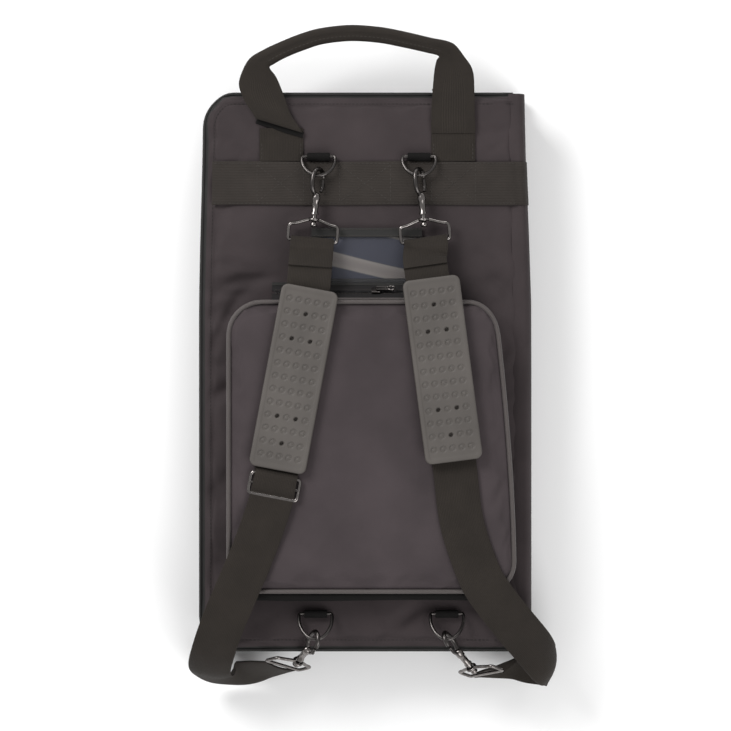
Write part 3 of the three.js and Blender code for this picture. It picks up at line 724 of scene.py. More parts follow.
def simulate(piece, free, grow):
    """The skin's points after a short cloth simulation: a little too large, held all round, with air under it."""
    held = piece.vertex_groups.new(name="held")
    held.add([int(i) for i in np.flatnonzero(~free)], 1.0, "REPLACE")
    modifier = piece.modifiers.new("Cloth", "CLOTH")
    cloth = modifier.settings
    cloth.quality = 4
    cloth.mass = 0.2
    cloth.tension_stiffness = cloth.compression_stiffness = 14
    cloth.shear_stiffness = 8
    cloth.bending_stiffness = 0.4
    cloth.use_pressure = True
    cloth.uniform_pressure_force = 3.0
    cloth.vertex_group_mass = "held"
    cloth.shrink_min = -grow
    cloth.effector_weights.gravity = 0
    modifier.point_cache.frame_start = 1
    modifier.point_cache.frame_end = CLOTH_FRAMES
    scene = bpy.context.scene
    for number in range(1, CLOTH_FRAMES + 1):
        scene.frame_set(number)
    moved = piece.evaluated_get(bpy.context.evaluated_depsgraph_get()).data
    co = np.array([v.co for v in moved.vertices]) / MM
    piece.modifiers.remove(modifier)
    scene.frame_set(1)
    return co


# ---- Covers and spine ------------------------------------------------------------------------------
BODY_LOW, BODY_HIGH = box("front_binding")[0], box("back_binding")[1]
COVER_LOW, COVER_HIGH = box("back_cover")
FACE = COVER_HIGH[2]
SEAM = FACE / 2  # the main zipper's level
SPINE_X = box("spine_panel")[1][0]
COVER = Outline(*COVER_LOW[:2], *COVER_HIGH[:2], [29, 8, 29, 8])
EDGE = Outline(*BODY_LOW[:2], COVER_HIGH[0], BODY_HIGH[1], [30, 8, 30, 8])


COIL_PITCH = 1.9


def coil(name, flat, normals, z, radius, body):
    """Half of a nylon coil zipper along a path."""
    run = walked(flat)
    at = np.arange(0, run[-1], COIL_PITCH / 6)
    place, out = sample(flat, run, at), sample(normals, run, at)
    turn = at / COIL_PITCH * 2 * math.pi
    path = raised(place + out * (radius * 1.5 * np.cos(turn))[:, None], z)
    path[:, 2] += radius * np.sin(turn)
    tube(name, path, 0.38, COIL, body, sides=4)


def build_cover(body, out, seed):
    """One padded half: panel, gusset, binding, zipper half and lining."""
    face = FACE if out > 0 else 0.0
    name = body.split("_")[0]
    sag = 0.9 if out > 0 else 0.5
    panel(f"{name}_panel", COVER, face, out, 6.0, ROLL, NYLON, body, [f"{name}_cover"], seed,
          folds=140, fold_depth=3.4, sag=sag, groove=0.9, tape=2.2)
    seat = face - out * ROLL
    wall = [(-0.6, 0), (0.2, -4), (0.5, -11), (-0.1, -19), (-0.9, -21), (-5.0, -21), (-5.6, -11), (-5.4, 0)]
    wall = [(a, out * b) for a, b in wall]
    rim(f"{name}_gusset", COVER, wall, seat, NYLON, body, tail=0.6)
    middle = box(f"{name}_binding")[:, 2].mean()
    tape = superellipse(1.5, 2.9, 0.8) + arr(-1.1, 0)
    rim(f"{name}_welt", EDGE, tape, middle + out * 0.6, TRIM, body, [f"{name}_binding"])
    zip_level = SEAM + out * 1.4
    band = [(-0.6, 0), (-0.4, 3.4 * out), (-1.2, 4.6 * out), (-3.4, 4.6 * out), (-3.8, 0)]
    rim(f"{name}_zip_tape", EDGE.inset(0.8), band, zip_level, TAPE, body, [f"main_zip_{name}"])
    flat, normals = EDGE.inset(1.4).path(0, 3, step=4)
    coil(f"{name}_zip_coil", flat, normals, zip_level - out * 0.3, 0.55, body)
    rim(f"{name}_edge_tape", COVER.inset(5.8), superellipse(0.8, 6.0, 0.4), face - out * 14, TRIM, body)


# Over the spine's edge: along X from the spine's outer face, and up from the cover's face.
BEND = [(-15, -2.0), (-12, -1.1), (-9, -0.7), (-5.6, -0.6), (-4, -0.9), (-1.6, -3.2), (-0.1, -6.6), (0.5, -10),
        (0.4, -15)]


def fold_over(piece, out):
    """Bake the transform of a piece lying over the edge between the spine and a cover into its mesh."""
    if out > 0:
        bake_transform(piece)
    else:
        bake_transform(piece)


def build_spine():
    """The padded spine, and the skins folded from it over both covers' edges."""
    box_low, box_high = box("spine_panel")
    seat = Seat((box_low + box_high) / 2, (0, 1, 0), (0, 0, 1))
    size = box_high - box_low
    outline = Outline(-size[1] / 2 - 0.5, -size[2] / 2, size[1] / 2 + 0.5, size[2] / 2, [3, 3, 3, 3])
    piece = panel("spine_pad", outline, size[0] / 2, 1, size[0], 3.0, NYLON, "spine", ["spine_panel"], 5,
                  folds=18, fold_depth=0.5, grow=0.006, cap=0.8, sag=0.5)
    world = np.array([v.co for v in piece.data.vertices]) / MM
    piece.data.vertices.foreach_set("co", (slack(seat.out(world)) * MM).ravel())
    piece.data.update()
    x = box_high[0]
    for out, name in ((1, "back"), (-1, "front")):
        face = FACE if out > 0 else 0.0
        route = spline([(x + a, 0, face + out * b) for a, b in BEND], 1.2)
        ends = COVER.top + 0.5
        _, side, over = strip_frame(route, arr(0, 1, 0))
        section = belt_section(2 * ends, 0.7)
        points, faces, uv = swept(route, side, over, section)
        fold_over(make(f"{name}_fold", points, faces, NYLON, None, (), uv), out)


def build_sleeves(body, out):
    """A row of stick sleeves sewn to the inside of a cover."""
    node = body.split("_")[0] + "_stick_sleeves"
    a, b = box(node)
    base = (b[2] if out > 0 else a[2])
    count, wide = 5, b[0] - a[0]
    s = np.linspace(0, count, count * 12 + 1)
    bulge = np.abs(np.sin(math.pi * s)) ** 0.7
    x = a[0] + wide * s / count
    y = np.concatenate([[a[1], a[1] + 3, a[1] + 8, a[1] + 16, a[1] + 30], np.linspace(a[1] + 50, b[1], 14)])
    full = np.clip((y - a[1]) / 34, 0, 1) ** 0.6
    lift = 1.6 + 10.6 * bulge[None] * full[:, None] * (1 - 0.08 * np.cos(y / 31)[:, None])
    outer = np.stack([np.broadcast_to(x, lift.shape), lift], axis=2)
    inner = np.stack([np.broadcast_to(x, lift.shape), np.maximum(lift - 0.9, 0.7)], axis=2)[:, ::-1]
    sections = np.concatenate([outer, inner], axis=1)
    sections[..., 0] -= (a[0] + b[0]) / 2
    path = np.stack([np.full_like(y, (a[0] + b[0]) / 2), y, np.full_like(y, base)], axis=1)
    points, faces, uv = swept(path, arr(1, 0, 0), -UP * out, sections)
    make(node + "_cloth", points, faces, LINING, body, [node], None, 60)
    head = np.stack([x, np.full_like(x, b[1]), base - out * (lift[-1] + 0.3)], axis=1)
    ups = runs(head)
    normal = np.cross(ups, arr(0, 1, 0))
    points, faces, uv = swept(head, arr(0, 1, 0), normal, superellipse(4.5, 0.8, 0.5))
    make(node + "_hem", points, faces, TRIM, body, (), uv, 60)
    stitches(node + "_stitch", [[(a[0] + wide * k / count, a[1] + 2, base - out * 1.9),
                                 (a[0] + wide * k / count, b[1] - 2, base - out * 1.9)] for k in range(count + 1)],
             STITCH, body, normal=-UP * out)


def build_cover_stitching():
    flat, _ = COVER.inset(SEAM_INSET).path(0, 3, step=6, tail=2)
    stitches("cover_edge_stitch", [raised(flat, FACE - 0.4)], DARK_STITCH, "back_cover", pitch=3.4)
    stitches("front_edge_stitch", [raised(flat, 0.4)], DARK_STITCH, "front_cover", pitch=3.4, normal=-UP)


def build_main_slider():
    a, b = box("main_zip_slider")
    seat = Seat((a + b) / 2, (1, 0, 0), (0, 1, 0))
    size = b - a
    block("main_slider_shell", seat, (size[0], size[1] * 0.72, size[2]), METAL, "main_zip_slider",
          ["main_zip_slider"], 1.0, (0, -0.5, 0))
    hump = spline([seat.out((x, y, 0)) for x, y in ((-4.2, 0.6), (-2.6, 1.5), (0, 1.75), (2.6, 1.5), (4.2, 0.6))],
                  0.6)
    tube("main_slider_bridge", hump, 0.75, METAL, "main_zip_slider")
    a, b = box("main_zip_pull")
    seat = Seat((a + b) / 2, (1, 0, 0), (0, 0, 1))
    half, tall = (b[0] - a[0]) / 2, (b[2] - a[2]) / 2
    outline = Outline(-half, -tall, half, tall, [2.8, 1, 2.8, 1])
    pull_tab("main_pull_tab", outline, seat, b[1] - a[1], "main_zip_pull", ["main_zip_pull"])


def pull_tab(name, outline, seat, thick, body, stands_for):
    """A flat cast tab with a rounded rim and a sunk middle."""
    flat, _ = outline.inset(0.9).path(0, 4, step=2)
    path = seat.out(raised(flat[:-1], 0))
    tube(name, path, 0.9, METAL, body, stands_for, closed=True, flat=thick / 1.8)
    wide, tall = outline.right - outline.left, outline.top - outline.bottom
    middle = ((outline.right + outline.left) / 2, (outline.top + outline.bottom) / 2, 0)
    block(name + "_web", seat, (wide - 2, tall - 2, thick * 0.5), METAL, body, (), 0.2, middle)


# ---- Pocket ----------------------------------------------------------------------------------------
P_LOW, P_HIGH = box("pocket")
FOOT = 6.5  # the roll under the pocket's lower edge, painted near-black as shade, takes up this much
POCKET = Outline(P_LOW[0], P_LOW[1] + FOOT, *P_HIGH[:2], [28, 28, 12, 24])
ZIP_GAP = (-86, 96)  # the gusset leaves the zipper's opening free between these
ZIP_CUT = {"left": 6, "right": 14}  # how much of the zipper the seams hide


def build_pocket():
    top = P_HIGH[2]
    panel("pocket_front", POCKET, top, 1, 3.8, 4.5, POCKET_NYLON, "back_cover", ["pocket"], 11,
          folds=60, fold_depth=2.0, sag=0.8)
    flat, normals = POCKET.path(0, 4, step=4)
    flat, normals = flat[:-1], normals[:-1]
    keep = ~((flat[:, 1] > P_HIGH[1] - 1) & (flat[:, 0] > ZIP_GAP[0]) & (flat[:, 0] < ZIP_GAP[1]))
    first = int(np.flatnonzero(~keep)[-1]) + 1
    order = [(first + i) % len(flat) for i in range(len(flat))]
    order = [i for i in order if keep[i]]
    flat, normals = flat[order], normals[order]
    levels = np.linspace(P_LOW[2] + 0.2, top - 4.6, 9)
    rng = np.random.default_rng(4)
    steps = np.arange(len(flat))
    waves = sum(rng.normal() * np.sin(steps * f + rng.uniform(0, 6)) for f in (0.11, 0.23, 0.37, 0.61))
    share = (levels - levels[0]) / (levels[-1] - levels[0])
    bulge = 1.0 * np.sin(math.pi * share)
    outer = np.stack([bulge[None] + 0.35 * waves[:, None] * np.sin(math.pi * share)[None] - 1.2,
                      np.broadcast_to(levels, (len(flat), len(levels)))], axis=2)
    inner = outer[:, ::-1].copy()
    inner[..., 0] -= 1.6
    sections = np.concatenate([outer, inner], axis=1)
    points, faces, uv = swept(raised(flat, 0), raised(normals, 0), UP, sections)
    make("pocket_gusset", points, faces, NYLON, "back_cover", (), uv, 60)
    turn = np.arange(14) / 14 * 2 * math.pi
    round_cord = np.stack([1.9 * np.cos(turn) + 0.7, 1.9 * np.sin(turn)], axis=1)
    rim("pocket_welt", POCKET, round_cord, top - 2.3, PIPING, "back_cover", ["pocket_piping"], closed=True,
        step=4)
    rim("pocket_welt_fin", POCKET, superellipse(0.5, 2.4, 0.5), top - 5.2, TRIM, "back_cover", (),
        closed=True)
    # Painted shade: a near-black tube along the pocket's lower edge stands for the shadowed bottom wall under the
    # pocket.
    roll = spline([(x, P_LOW[1] + 2.2 + 0.5 * math.sin(x / 30), top - 7.5) for x in np.linspace(-104, 100, 14)], 3)
    tube("pocket_bottom_painted_shade", roll, 4.4, DARK, "back_cover", flat=0.9, sides=16)
    foot = [(0.4, -2.4), (1.6, -2.4), (1.8, 1.0), (0.3, 1.6), (-1.8, 1.7), (-1.9, -2.4)]
    rim("pocket_foot", POCKET, foot, P_LOW[2] + 0.1, TRIM, "back_cover", (), closed=True)


def build_pocket_zip():
    a, b = box("pocket_zip")
    a[0] += ZIP_CUT["left"]
    b[0] -= ZIP_CUT["right"]
    head = arr(0, a[1] + 0.7, b[2] - 0.7)
    foot = arr(0, b[1] - 0.7, a[2] + 0.7)
    middle, down = (head + foot) / 2, unit(foot - head)
    seat = Seat(middle + arr((a[0] + b[0]) / 2, 0, 0), (1, 0, 0), down)
    half, long = (b[0] - a[0]) / 2, np.linalg.norm(foot - head)
    xs = np.linspace(-half, half, 60)
    for sign, name in ((-1, "upper"), (1, "lower")):
        path = seat.out([(x, sign * (long / 4 + 0.6), 0.25 * math.sin(x / 9)) for x in xs])
        strip(f"pocket_zip_{name}_tape", path, seat.y, TAPE, "back_cover",
              ["pocket_zip"] if sign < 0 else (), wide=long / 2 - 2.2, thick=1.0)
        line = seat.out([(x, sign * 2.6, 0.75) for x in (-half + 2, half - 2)])
        stitches(f"pocket_zip_{name}_stitch", [line], STITCH, "back_cover", normal=seat.z, pitch=3.0, long=2.2)
    steps = np.arange(-half + 2, half - 2, 0.35)
    for sign, name in ((-1, "upper"), (1, "lower")):
        turn = steps / COIL_PITCH * 2 * math.pi + (math.pi if sign > 0 else 0)
        path = seat.out(np.stack([steps, sign * 0.95 + 0.75 * np.cos(turn), 0.35 + 0.5 * np.sin(turn)], axis=1))
        tube(f"pocket_zip_{name}_coil", path, 0.34, COIL, "back_cover", sides=4)
    hem = seat.out([(x, -long / 2 + 1.6, 1.0) for x in np.linspace(-half + 16, half - 6, 20)])
    tube("pocket_zip_hem", hem, 1.1, PIPING, "back_cover", flat=0.8)
    foot_tape = seat.out([(x, long / 2 - 1.2, 0.6) for x in np.linspace(-half, half, 20)])
    strip("pocket_zip_foot", foot_tape, seat.y, TRIM, "back_cover", wide=4.6, thick=1.2)
    slider = Seat(box("pocket_zip_slider").mean(0), (1, 0, 0), down)
    block("pocket_slider_shell", slider, (8.5, 7.4, 2.4), METAL, "pocket_zip_slider",
          ["pocket_zip_slider"], 0.8, (0, 0, -0.1))
    tab = Seat(place_of("pocket_zip_pull_swing"), (1, 0, 0), down)
    outline = Outline(-0.6, -2.6, 11, 2.6, [0.8, 2.4, 0.8, 2.4])
    pull_tab("pocket_pull_tab", outline, tab, 1.2, "pocket_zip_pull", ["pocket_zip_pull"])
    turn = np.linspace(0, 2 * math.pi, 25)[:-1]
    ring = tab.out([(12.6 + 3.0 * math.cos(t), 2.6 * math.sin(t), 0.2) for t in turn])
    tube("pocket_pull_ring", ring, 0.7, BRIGHT, "pocket_zip_pull", closed=True)


# ---- Card window -----------------------------------------------------------------------------------
def build_window():
    a, b = box("card_window_frame")
    base = a[2]
    corners = [(a[0] + 2, b[1] - 1), (a[0] + 2, a[1] + 1.5), (b[0] - 2, a[1] + 1.5), (b[0] - 2, b[1] - 1)]
    for k in range(3):
        path = np.linspace((*corners[k], base + 0.85), (*corners[k + 1], base + 0.85), 20)
        side = np.cross(unit(path[-1] - path[0]), UP)
        strip(f"window_rail_0_{k}", path, side, TRIM, "back_cover",
              ["card_window_frame"] if k == 0 else (), wide=4.0, thick=1.5, bow=0.3)
    f0, f1 = box("card_window_film")
    xs, ys = np.linspace(f0[0], f1[0], 40), np.linspace(f0[1], f1[1], 24)
    gx, gy = np.meshgrid(xs, ys)
    wave = 0.22 * np.sin(gx / 7 + gy / 15) + 0.15 * np.sin(gy / 6 - gx / 19)
    mid = (f0[2] + f1[2]) / 2 + 0.1 * wave
    points = np.concatenate([np.stack([gx, gy, mid + s], axis=2).reshape(-1, 3) for s in (0.2, -0.2)])
    n, m = gx.shape
    index = np.arange(n * m).reshape(n, m)
    ring = border_of(index)
    faces = grid(index) + grid(index + n * m) + skirt(ring, [v + n * m for v in ring])
    make("window_film", points, faces, VINYL, "back_cover", ["card_window_film"])
    h0, h1 = box("card_window_hem")
    y = (h0[1] + h1[1]) / 2
    path = np.linspace((h0[0], y, (h0[2] + h1[2]) / 2), (h1[0], y, (h0[2] + h1[2]) / 2), 40)
    strip("window_hem", path, arr(0, 1, 0), TRIM, "back_cover", ["card_window_hem"],
          wide=h1[1] - h0[1], thick=0.9, bow=0.25)
    stitches("window_hem_stitch", [[(h0[0] + 1, yy, h1[2] + 0.15), (h1[0] - 1, yy, h1[2] + 0.15)]
                                   for yy in (h0[1] + 1.2, h1[1] - 1.2)], STITCH, "back_cover", pitch=3.0, long=2.2)
    c0, c1 = box("id_card")
    seat = Seat((c0 + c1) / 2, (1, 0, 0), (0, 1, 0))
    block("card_sheet", seat, c1 - c0, CARD, "id_card", ["id_card"], 0.25)


# ---- Webbing sewn to the cover, and the handle -----------------------------------------------------
def build_band():
    a, b = box("webbing_band")
    y, z = (a[1] + b[1]) / 2, (a[2] + b[2]) / 2
    x = np.linspace(a[0], SPINE_X - 12, 80)
    path = np.stack([x, np.full_like(x, y) + 0.3 * np.sin(x / 23), z + 0.12 * np.sin(x / 17)], axis=1)
    over = [(SPINE_X + d + 0.3, y, FACE + drop + 1.1) for d, drop in BEND[2:-1]]
    path = spline(np.vstack([path, over]), 2.0)
    strap = strip("band_strip", path, arr(0, 1, 0), BAND, None, ["webbing_band"],
                  wide=b[1] - a[1], thick=b[2] - a[2])
    fold_over(strap, 1)
    top = b[2] + 0.2
    rows = [[(a[0] + 1, yy, top), (b[0] - 1, yy, top)] for yy in (a[1] + 1.8, b[1] - 1.8)]
    for x0, x1 in ((-93, -53), (57, 95), (-22, 22)):
        rows += [[(x0, a[1] + 3, top), (x1, b[1] - 3, top)], [(x0, b[1] - 3, top), (x1, a[1] + 3, top)],
                 [(x0, a[1] + 3, top), (x0, b[1] - 3, top)], [(x1, a[1] + 3, top), (x1, b[1] - 3, top)]]
    stitches("band_stitch", rows, STITCH, "back_cover")


# Along the handle: outer edge x, y; inner edge x, y; level above the pivot; thickness; squareness.
HANDLE = [
    (-94, 218, -53.8, 205.8, 1.6, 2.0, 0.5), (-95, 219.6, -54.6, 207.4, 2.0, 3.0, 0.4),
    (-97.5, 223.5, -57.5, 212, 2.1, 2.4, 0.3), (-104, 234, -64.5, 223, 1.3, 1.9, 0.25),
    (-108.6, 247, -70.5, 240, 0.8, 2.2, 0.3), (-105.6, 259, -76.5, 254, 1.6, 3.4, 0.45),
    (-99, 270, -82, 261.6, 2.6, 6.5, 0.7), (-87, 277.4, -78.6, 264.6, 3.2, 8.6, 0.85),
    (-73, 283.9, -67.5, 270.6, 3.6, 9, 0.85), (-56, 290.7, -52, 276.8, 3.8, 9, 0.85),
    (-38.7, 295.6, -36, 281.8, 4, 9, 0.85), (-12.9, 298.4, -12.4, 284.4, 4, 9, 0.85),
    (12, 296.8, 11.2, 283, 4, 9, 0.85), (30, 293.6, 28, 280, 4, 9, 0.85),
          (55.9, 287.6, 52.6, 274.6, 3.6, 8.6, 0.85),
    (75.5, 282.8, 63.4, 271.6, 2.8, 6, 0.7), (84.6, 272.5, 61.4, 268, 1.8, 3.6, 0.5),
    (92.6, 260, 59.4, 258, 1, 2.2, 0.35), (94.2, 241, 58, 240, 0.3, 1.8, 0.25),
    (94.6, 222, 57, 222, 0, 1.6, 0.25), (95, 210, 57, 210, -0.4, 1.0, 0.25),
          (95, 205.6, 57, 205.6, -0.95, 0.5, 0.25),
]


def build_handle():
    for side in SIDES:
        node = f"handle_anchor_{side}"
        a, b = box(node)
        x, z = (a[0] + b[0]) / 2, (a[2] + b[2]) / 2
        path = np.linspace((x, a[1], z), (x, b[1] + (5 if side == "left" else 4), z), 16)
        strip(f"anchor_{side}", path, arr(1, 0, 0), WEBBING, "back_cover", [node],
              thick=b[2] - a[2])
        stitches(f"anchor_stitch_{side}", [[(xx, a[1] + 1, b[2] + 0.2), (xx, b[1] - 5, b[2] + 0.2)]
                                           for xx in (a[0] + 2.2, b[0] - 2.2)], STITCH, "back_cover")
    z = place_of("handle_swing")[2]
    rows = np.array([((a + c) / 2, (b + d) / 2, z + lift, a, b, c, d, thick, square)
                     for a, b, c, d, lift, thick, square in HANDLE])
    rows = spline(rows, 2.2)
    path = rows[:, :3]
    outer, inner = rows[:, 3:5], rows[:, 5:7]
    across = raised(outer - inner, 0)
    half = np.linalg.norm(across, axis=1) / 2
    across /= 2 * half[:, None]
    sections = np.array([superellipse(h, t / 2, s, 28) for h, t, s in zip(half, rows[:, 7], rows[:, 8])])
    points, faces, uv = swept(path, across, UP, sections)
    make("handle_webbing", points, faces, WEBBING, "handle", ["handle"], uv, 50)
    # Painted shade: a near-black strip under the left leg's lower edge stands for the shadow where the leg lifts
    # off its anchor.
    tuck = spline([(-93.5, 216.6, FACE + 0.9), (-76, 211, FACE + 1.6), (-70, 209, z - 0.8), (-53.2, 204, z - 0.8)],
                  1.5)
    strip("handle_painted_shade", tuck, unit(arr(0.31, 0.95, 0)), DARK, "back_cover", wide=5.5, thick=0.9)
    grip = (path[:, 1] > 268) & (half < 8)
    seam = path[grip] + across[grip] * (-0.42 * half[grip])[:, None]
    seam[:, 2] += rows[grip, 7] / 2 * 0.93
    stitches("handle_seam", [seam], STITCH, "handle")


# ---- Rings, hooks and loops ------------------------------------------------------------------------
def build_ring(side, level, sizes):
    """A D-ring and the tab of cloth folded round its bar; the tab is near-black, painted shade inside the ring."""
    bar = place_of(f"{level}_ring_{side}_swing")
    rise = math.radians(sizes["lift"])
    seat = Seat(bar, (1, 0, 0), (0, math.cos(rise), -math.sin(rise)))
    h, r = RING_HALF, sizes["reach"]
    half = [(0.94 * h, 0), (h, -0.04 * r), (1.02 * h, -0.22 * r), (0.93 * h, -0.5 * r), (0.68 * h, -0.78 * r),
            (0.3 * h, -0.97 * r)]
    points = [(-0.5 * h, 0), (0.5 * h, 0), *half, (0, -r), *[(-x, y) for x, y in half[::-1]]]
    path = spline(seat.out([(x, y, 0) for x, y in points]), 1.2, closed=True)
    tube(f"{level}_dring_{side}", path, WIRE, METAL, f"{level}_ring_{side}",
         [f"{level}_ring_{side}"], closed=True)
    tab = f"{level}_tab_{side}"
    a, b = box(tab)
    room = WIRE + 1.15
    arc = [(bar[1] + room * math.sin(t), bar[2] + room * math.cos(t))
           for t in np.linspace(math.radians(-60), math.radians(180), 16)]
    end = a[1]
    tail = [(arc[-1][0] * 0.5 + end * 0.5, FACE + 1.1), (end, FACE + 1.05)]
    top = [(arc[0][0] + (end - arc[0][0]) * 0.55, bar[2] + 0.4), (end + 2, FACE + 2.6)][::-1]
    line = [(p[0], p[1]) for p in top] + arc + tail
    path = spline([(bar[0], y, z) for y, z in line], 0.8)
    # The tab is painted near-black as the shade inside the ring.
    strip(f"{tab}_strip", path, arr(1, 0, 0), DARK, "back_cover", [tab],
          wide=b[0] - a[0], thick=1.2)


def hook_seat(side, level):
    """A hook's frame: its swivel's axis up, its gate to the right."""
    axis = axis_of(f"{level}_hook_{side}_swivel")
    gate = f"{level}_gate_{side}_swing"
    x = np.cross(axis, axis_of(gate))
    px, py = HOOK["pivot"]
    return Seat(place_of(gate) - px * x - py * axis, x, axis)


def build_hook(side, level):
    seat = hook_seat(side, level)
    name, body = f"{level}_hook_{side}", f"{level}_hook_{side}"
    eye, half = HOOK["eye"], HOOK["half"]
    line = [(-1.2, -3), (-2.2, 0.4), (-half * 0.75, 3.6), (-half, 8), (-half, eye - 9), (-half * 0.76, eye - 4.2),
            (-half * 0.3, eye - 2), (half * 0.3, eye - 2), (half * 0.76, eye - 4.4), (half, eye - 8.3)]
    path = spline(seat.out([(x, y, 0) for x, y in line]), 0.9)
    tube(f"{name}_bend", path, HOOK["wire"], METAL, body, [name])
    barrel = HOOK["barrel"]
    profile = [(0.01, 2.2), (2.0, 1.8), (3.2, 0.4), (3.5, -2), (3.5, -5), (2.9, -6), (2.7, -barrel + 2.6),
               (3.4, -barrel + 1.6), (3.5, -barrel + 0.3), (1.9, -barrel), (1.9, -barrel - 6.8),
               (3.1, -barrel - 8.3), (3.1, -barrel - 9.4), (2.2, -barrel - 10.5), (0.01, -barrel - 10.7)]
    lathe(f"{name}_barrel", profile, seat, BRIGHT, body)
    tip = eye - 8.5 - 2.1
    gate = [(half * 0.8 - 0.4, 3.0), (half * 0.86, 4.6), (half, 7), (half, tip - 2), (half, tip)]
    path = spline(seat.out([(x, y, 0) for x, y in gate]), 0.8)
    tube(f"{level}_gate_{side}_wire", path, 1.4, METAL, f"{level}_gate_{side}",
         [f"{level}_gate_{side}"])
    nub = Seat(seat.out((half + 1.7, 9, 0)) + UP * 0.8, seat.x, seat.y)
    block(f"{level}_gate_{side}_nub", nub, (1.9, 3.2, 1.1), METAL, f"{level}_gate_{side}", (), 0.5)
    return seat


def build_loop(side, level, hook, down, across, body):
    """The strap's loop: a collar on the swivel pin and a frame whose bar carries the webbing."""
    collar = hook.out((0, -HOOK["barrel"] - HOOK["pin"], 0))
    seat = Seat(collar, across, -np.asarray(down, float))
    half, reach, ring = LOOP["half"], LOOP["reach"], LOOP["collar"]
    side_line = [(ring + 0.3, -0.1), (half * 0.4, -1.6), (half * 0.7, -3.8), (half * 0.95, -5.0), (half, -7.6),
                 (half, -reach + 3), (half - 0.5, -reach + 0.7), (half - 2.6, -reach)]
    line = [*side_line, (0, -reach), *[(-x, y) for x, y in side_line[::-1]]]
    path = spline(seat.out([(x, y, 0) for x, y in line]), 1.0)
    node = f"{level}_loop_{side}"
    tube(f"{node}_frame", path, LOOP["wire"], BRIGHT, body, [node])
    turn = np.linspace(0, 2 * math.pi, 33)[:-1]
    circle = [collar + ring * (math.cos(t) * hook.x + math.sin(t) * hook.z) for t in turn]
    tube(f"{node}_collar", np.array(circle), 1.35, BRIGHT, body, closed=True)
    return seat.out((0, -reach, 0)), seat


# ---- Straps ----------------------------------------------------------------------------------------
STRAPS = {
    "left": {
        "loop": ((-0.08, -1, -0.08), (1, -0.08, 0)),
        "upper": [(-46.4, 98, 78.5), (-47.1, 88, 86.0), (-47.9, 77, 90.4), (-49.2, 66, 91.4), (-51.6, 44, 91.6),
                  (-60, -2, 91.6), (-77.4, -96, 91.4)],
        "low_loop": ((-0.749, -0.234, -0.619), (0.66, -0.26, -0.7)),
        "lower": [
            (-76.9, -93.5, 93.2, 0.98, -0.19, 0), (-81, -112, 94.2, 0.98, -0.19, 0),
                  (-95, -152, 92.6, 0.93, -0.36, 0),
            (-111, -190, 92.8, 0.93, -0.37, 0), (-122, -216, 87, 0.94, -0.33, 0.03),
                  (-131, -242, 72, 0.97, -0.2, 0.1),
            (-134.5, -257, 53, 0.95, -0.08, 0.3), (-131, -263.5, 36, 0.76, 0.08, 0.64),
            (-121, -265, 24.5, 0.25, 0.42, 0.87), (-107, -263, 22.5, -0.15, 0.6, 0.78),
            (-92, -259, 30, -0.42, 0.45, 0.78),
        ],
    },
    "right": {
        "loop": ((0.1, -1, -0.08), (1, 0.1, 0)),
        "upper": [(51.2, 98, 78.5), (52.1, 89, 86.0), (53.6, 79, 90.4), (55.2, 70, 91.4), (59.1, 45, 91.6),
                  (65.4, 0, 91.6), (72.6, -55, 91.6)],
        "low_loop": ((0.748, -0.32, -0.581), (0.651, 0.191, 0.733)),
        "lower": [
            (75, -66, 91.4, 1, 0.1, 0), (77, -84, 92.0, 1, 0.1, 0), (83, -130, 92.4, 0.985, 0.17, 0),
            (98, -174, 92.6, 0.93, 0.37, 0), (109, -192, 93, 0.88, 0.47, 0), (126, -214, 87, 0.8, 0.6, 0),
            (145, -237, 72, 0.6, 0.78, -0.1), (156, -252, 56.5, 0.4, 0.89, -0.2),
                  (159.5, -253.5, 42, 0.2, 0.97, -0.1),
            (155.5, -255, 31, 0.12, 0.97, 0.2), (146, -256, 28, 0.15, 0.88, 0.45), (134, -256, 33, 0.3, 0.65, 0.7),
        ],
    },
}


TURN_LEVEL = 44  # the lower straps turn under the bag here
CUP = {"left": 2.5, "right": 5.5}  # how far the webbing cups at that turn
HOLES = {(1, 2), (3, 1), (3, 3), (9, 1), (9, 3), (11, 2)}  # the pad's dimples that are holes: row, column


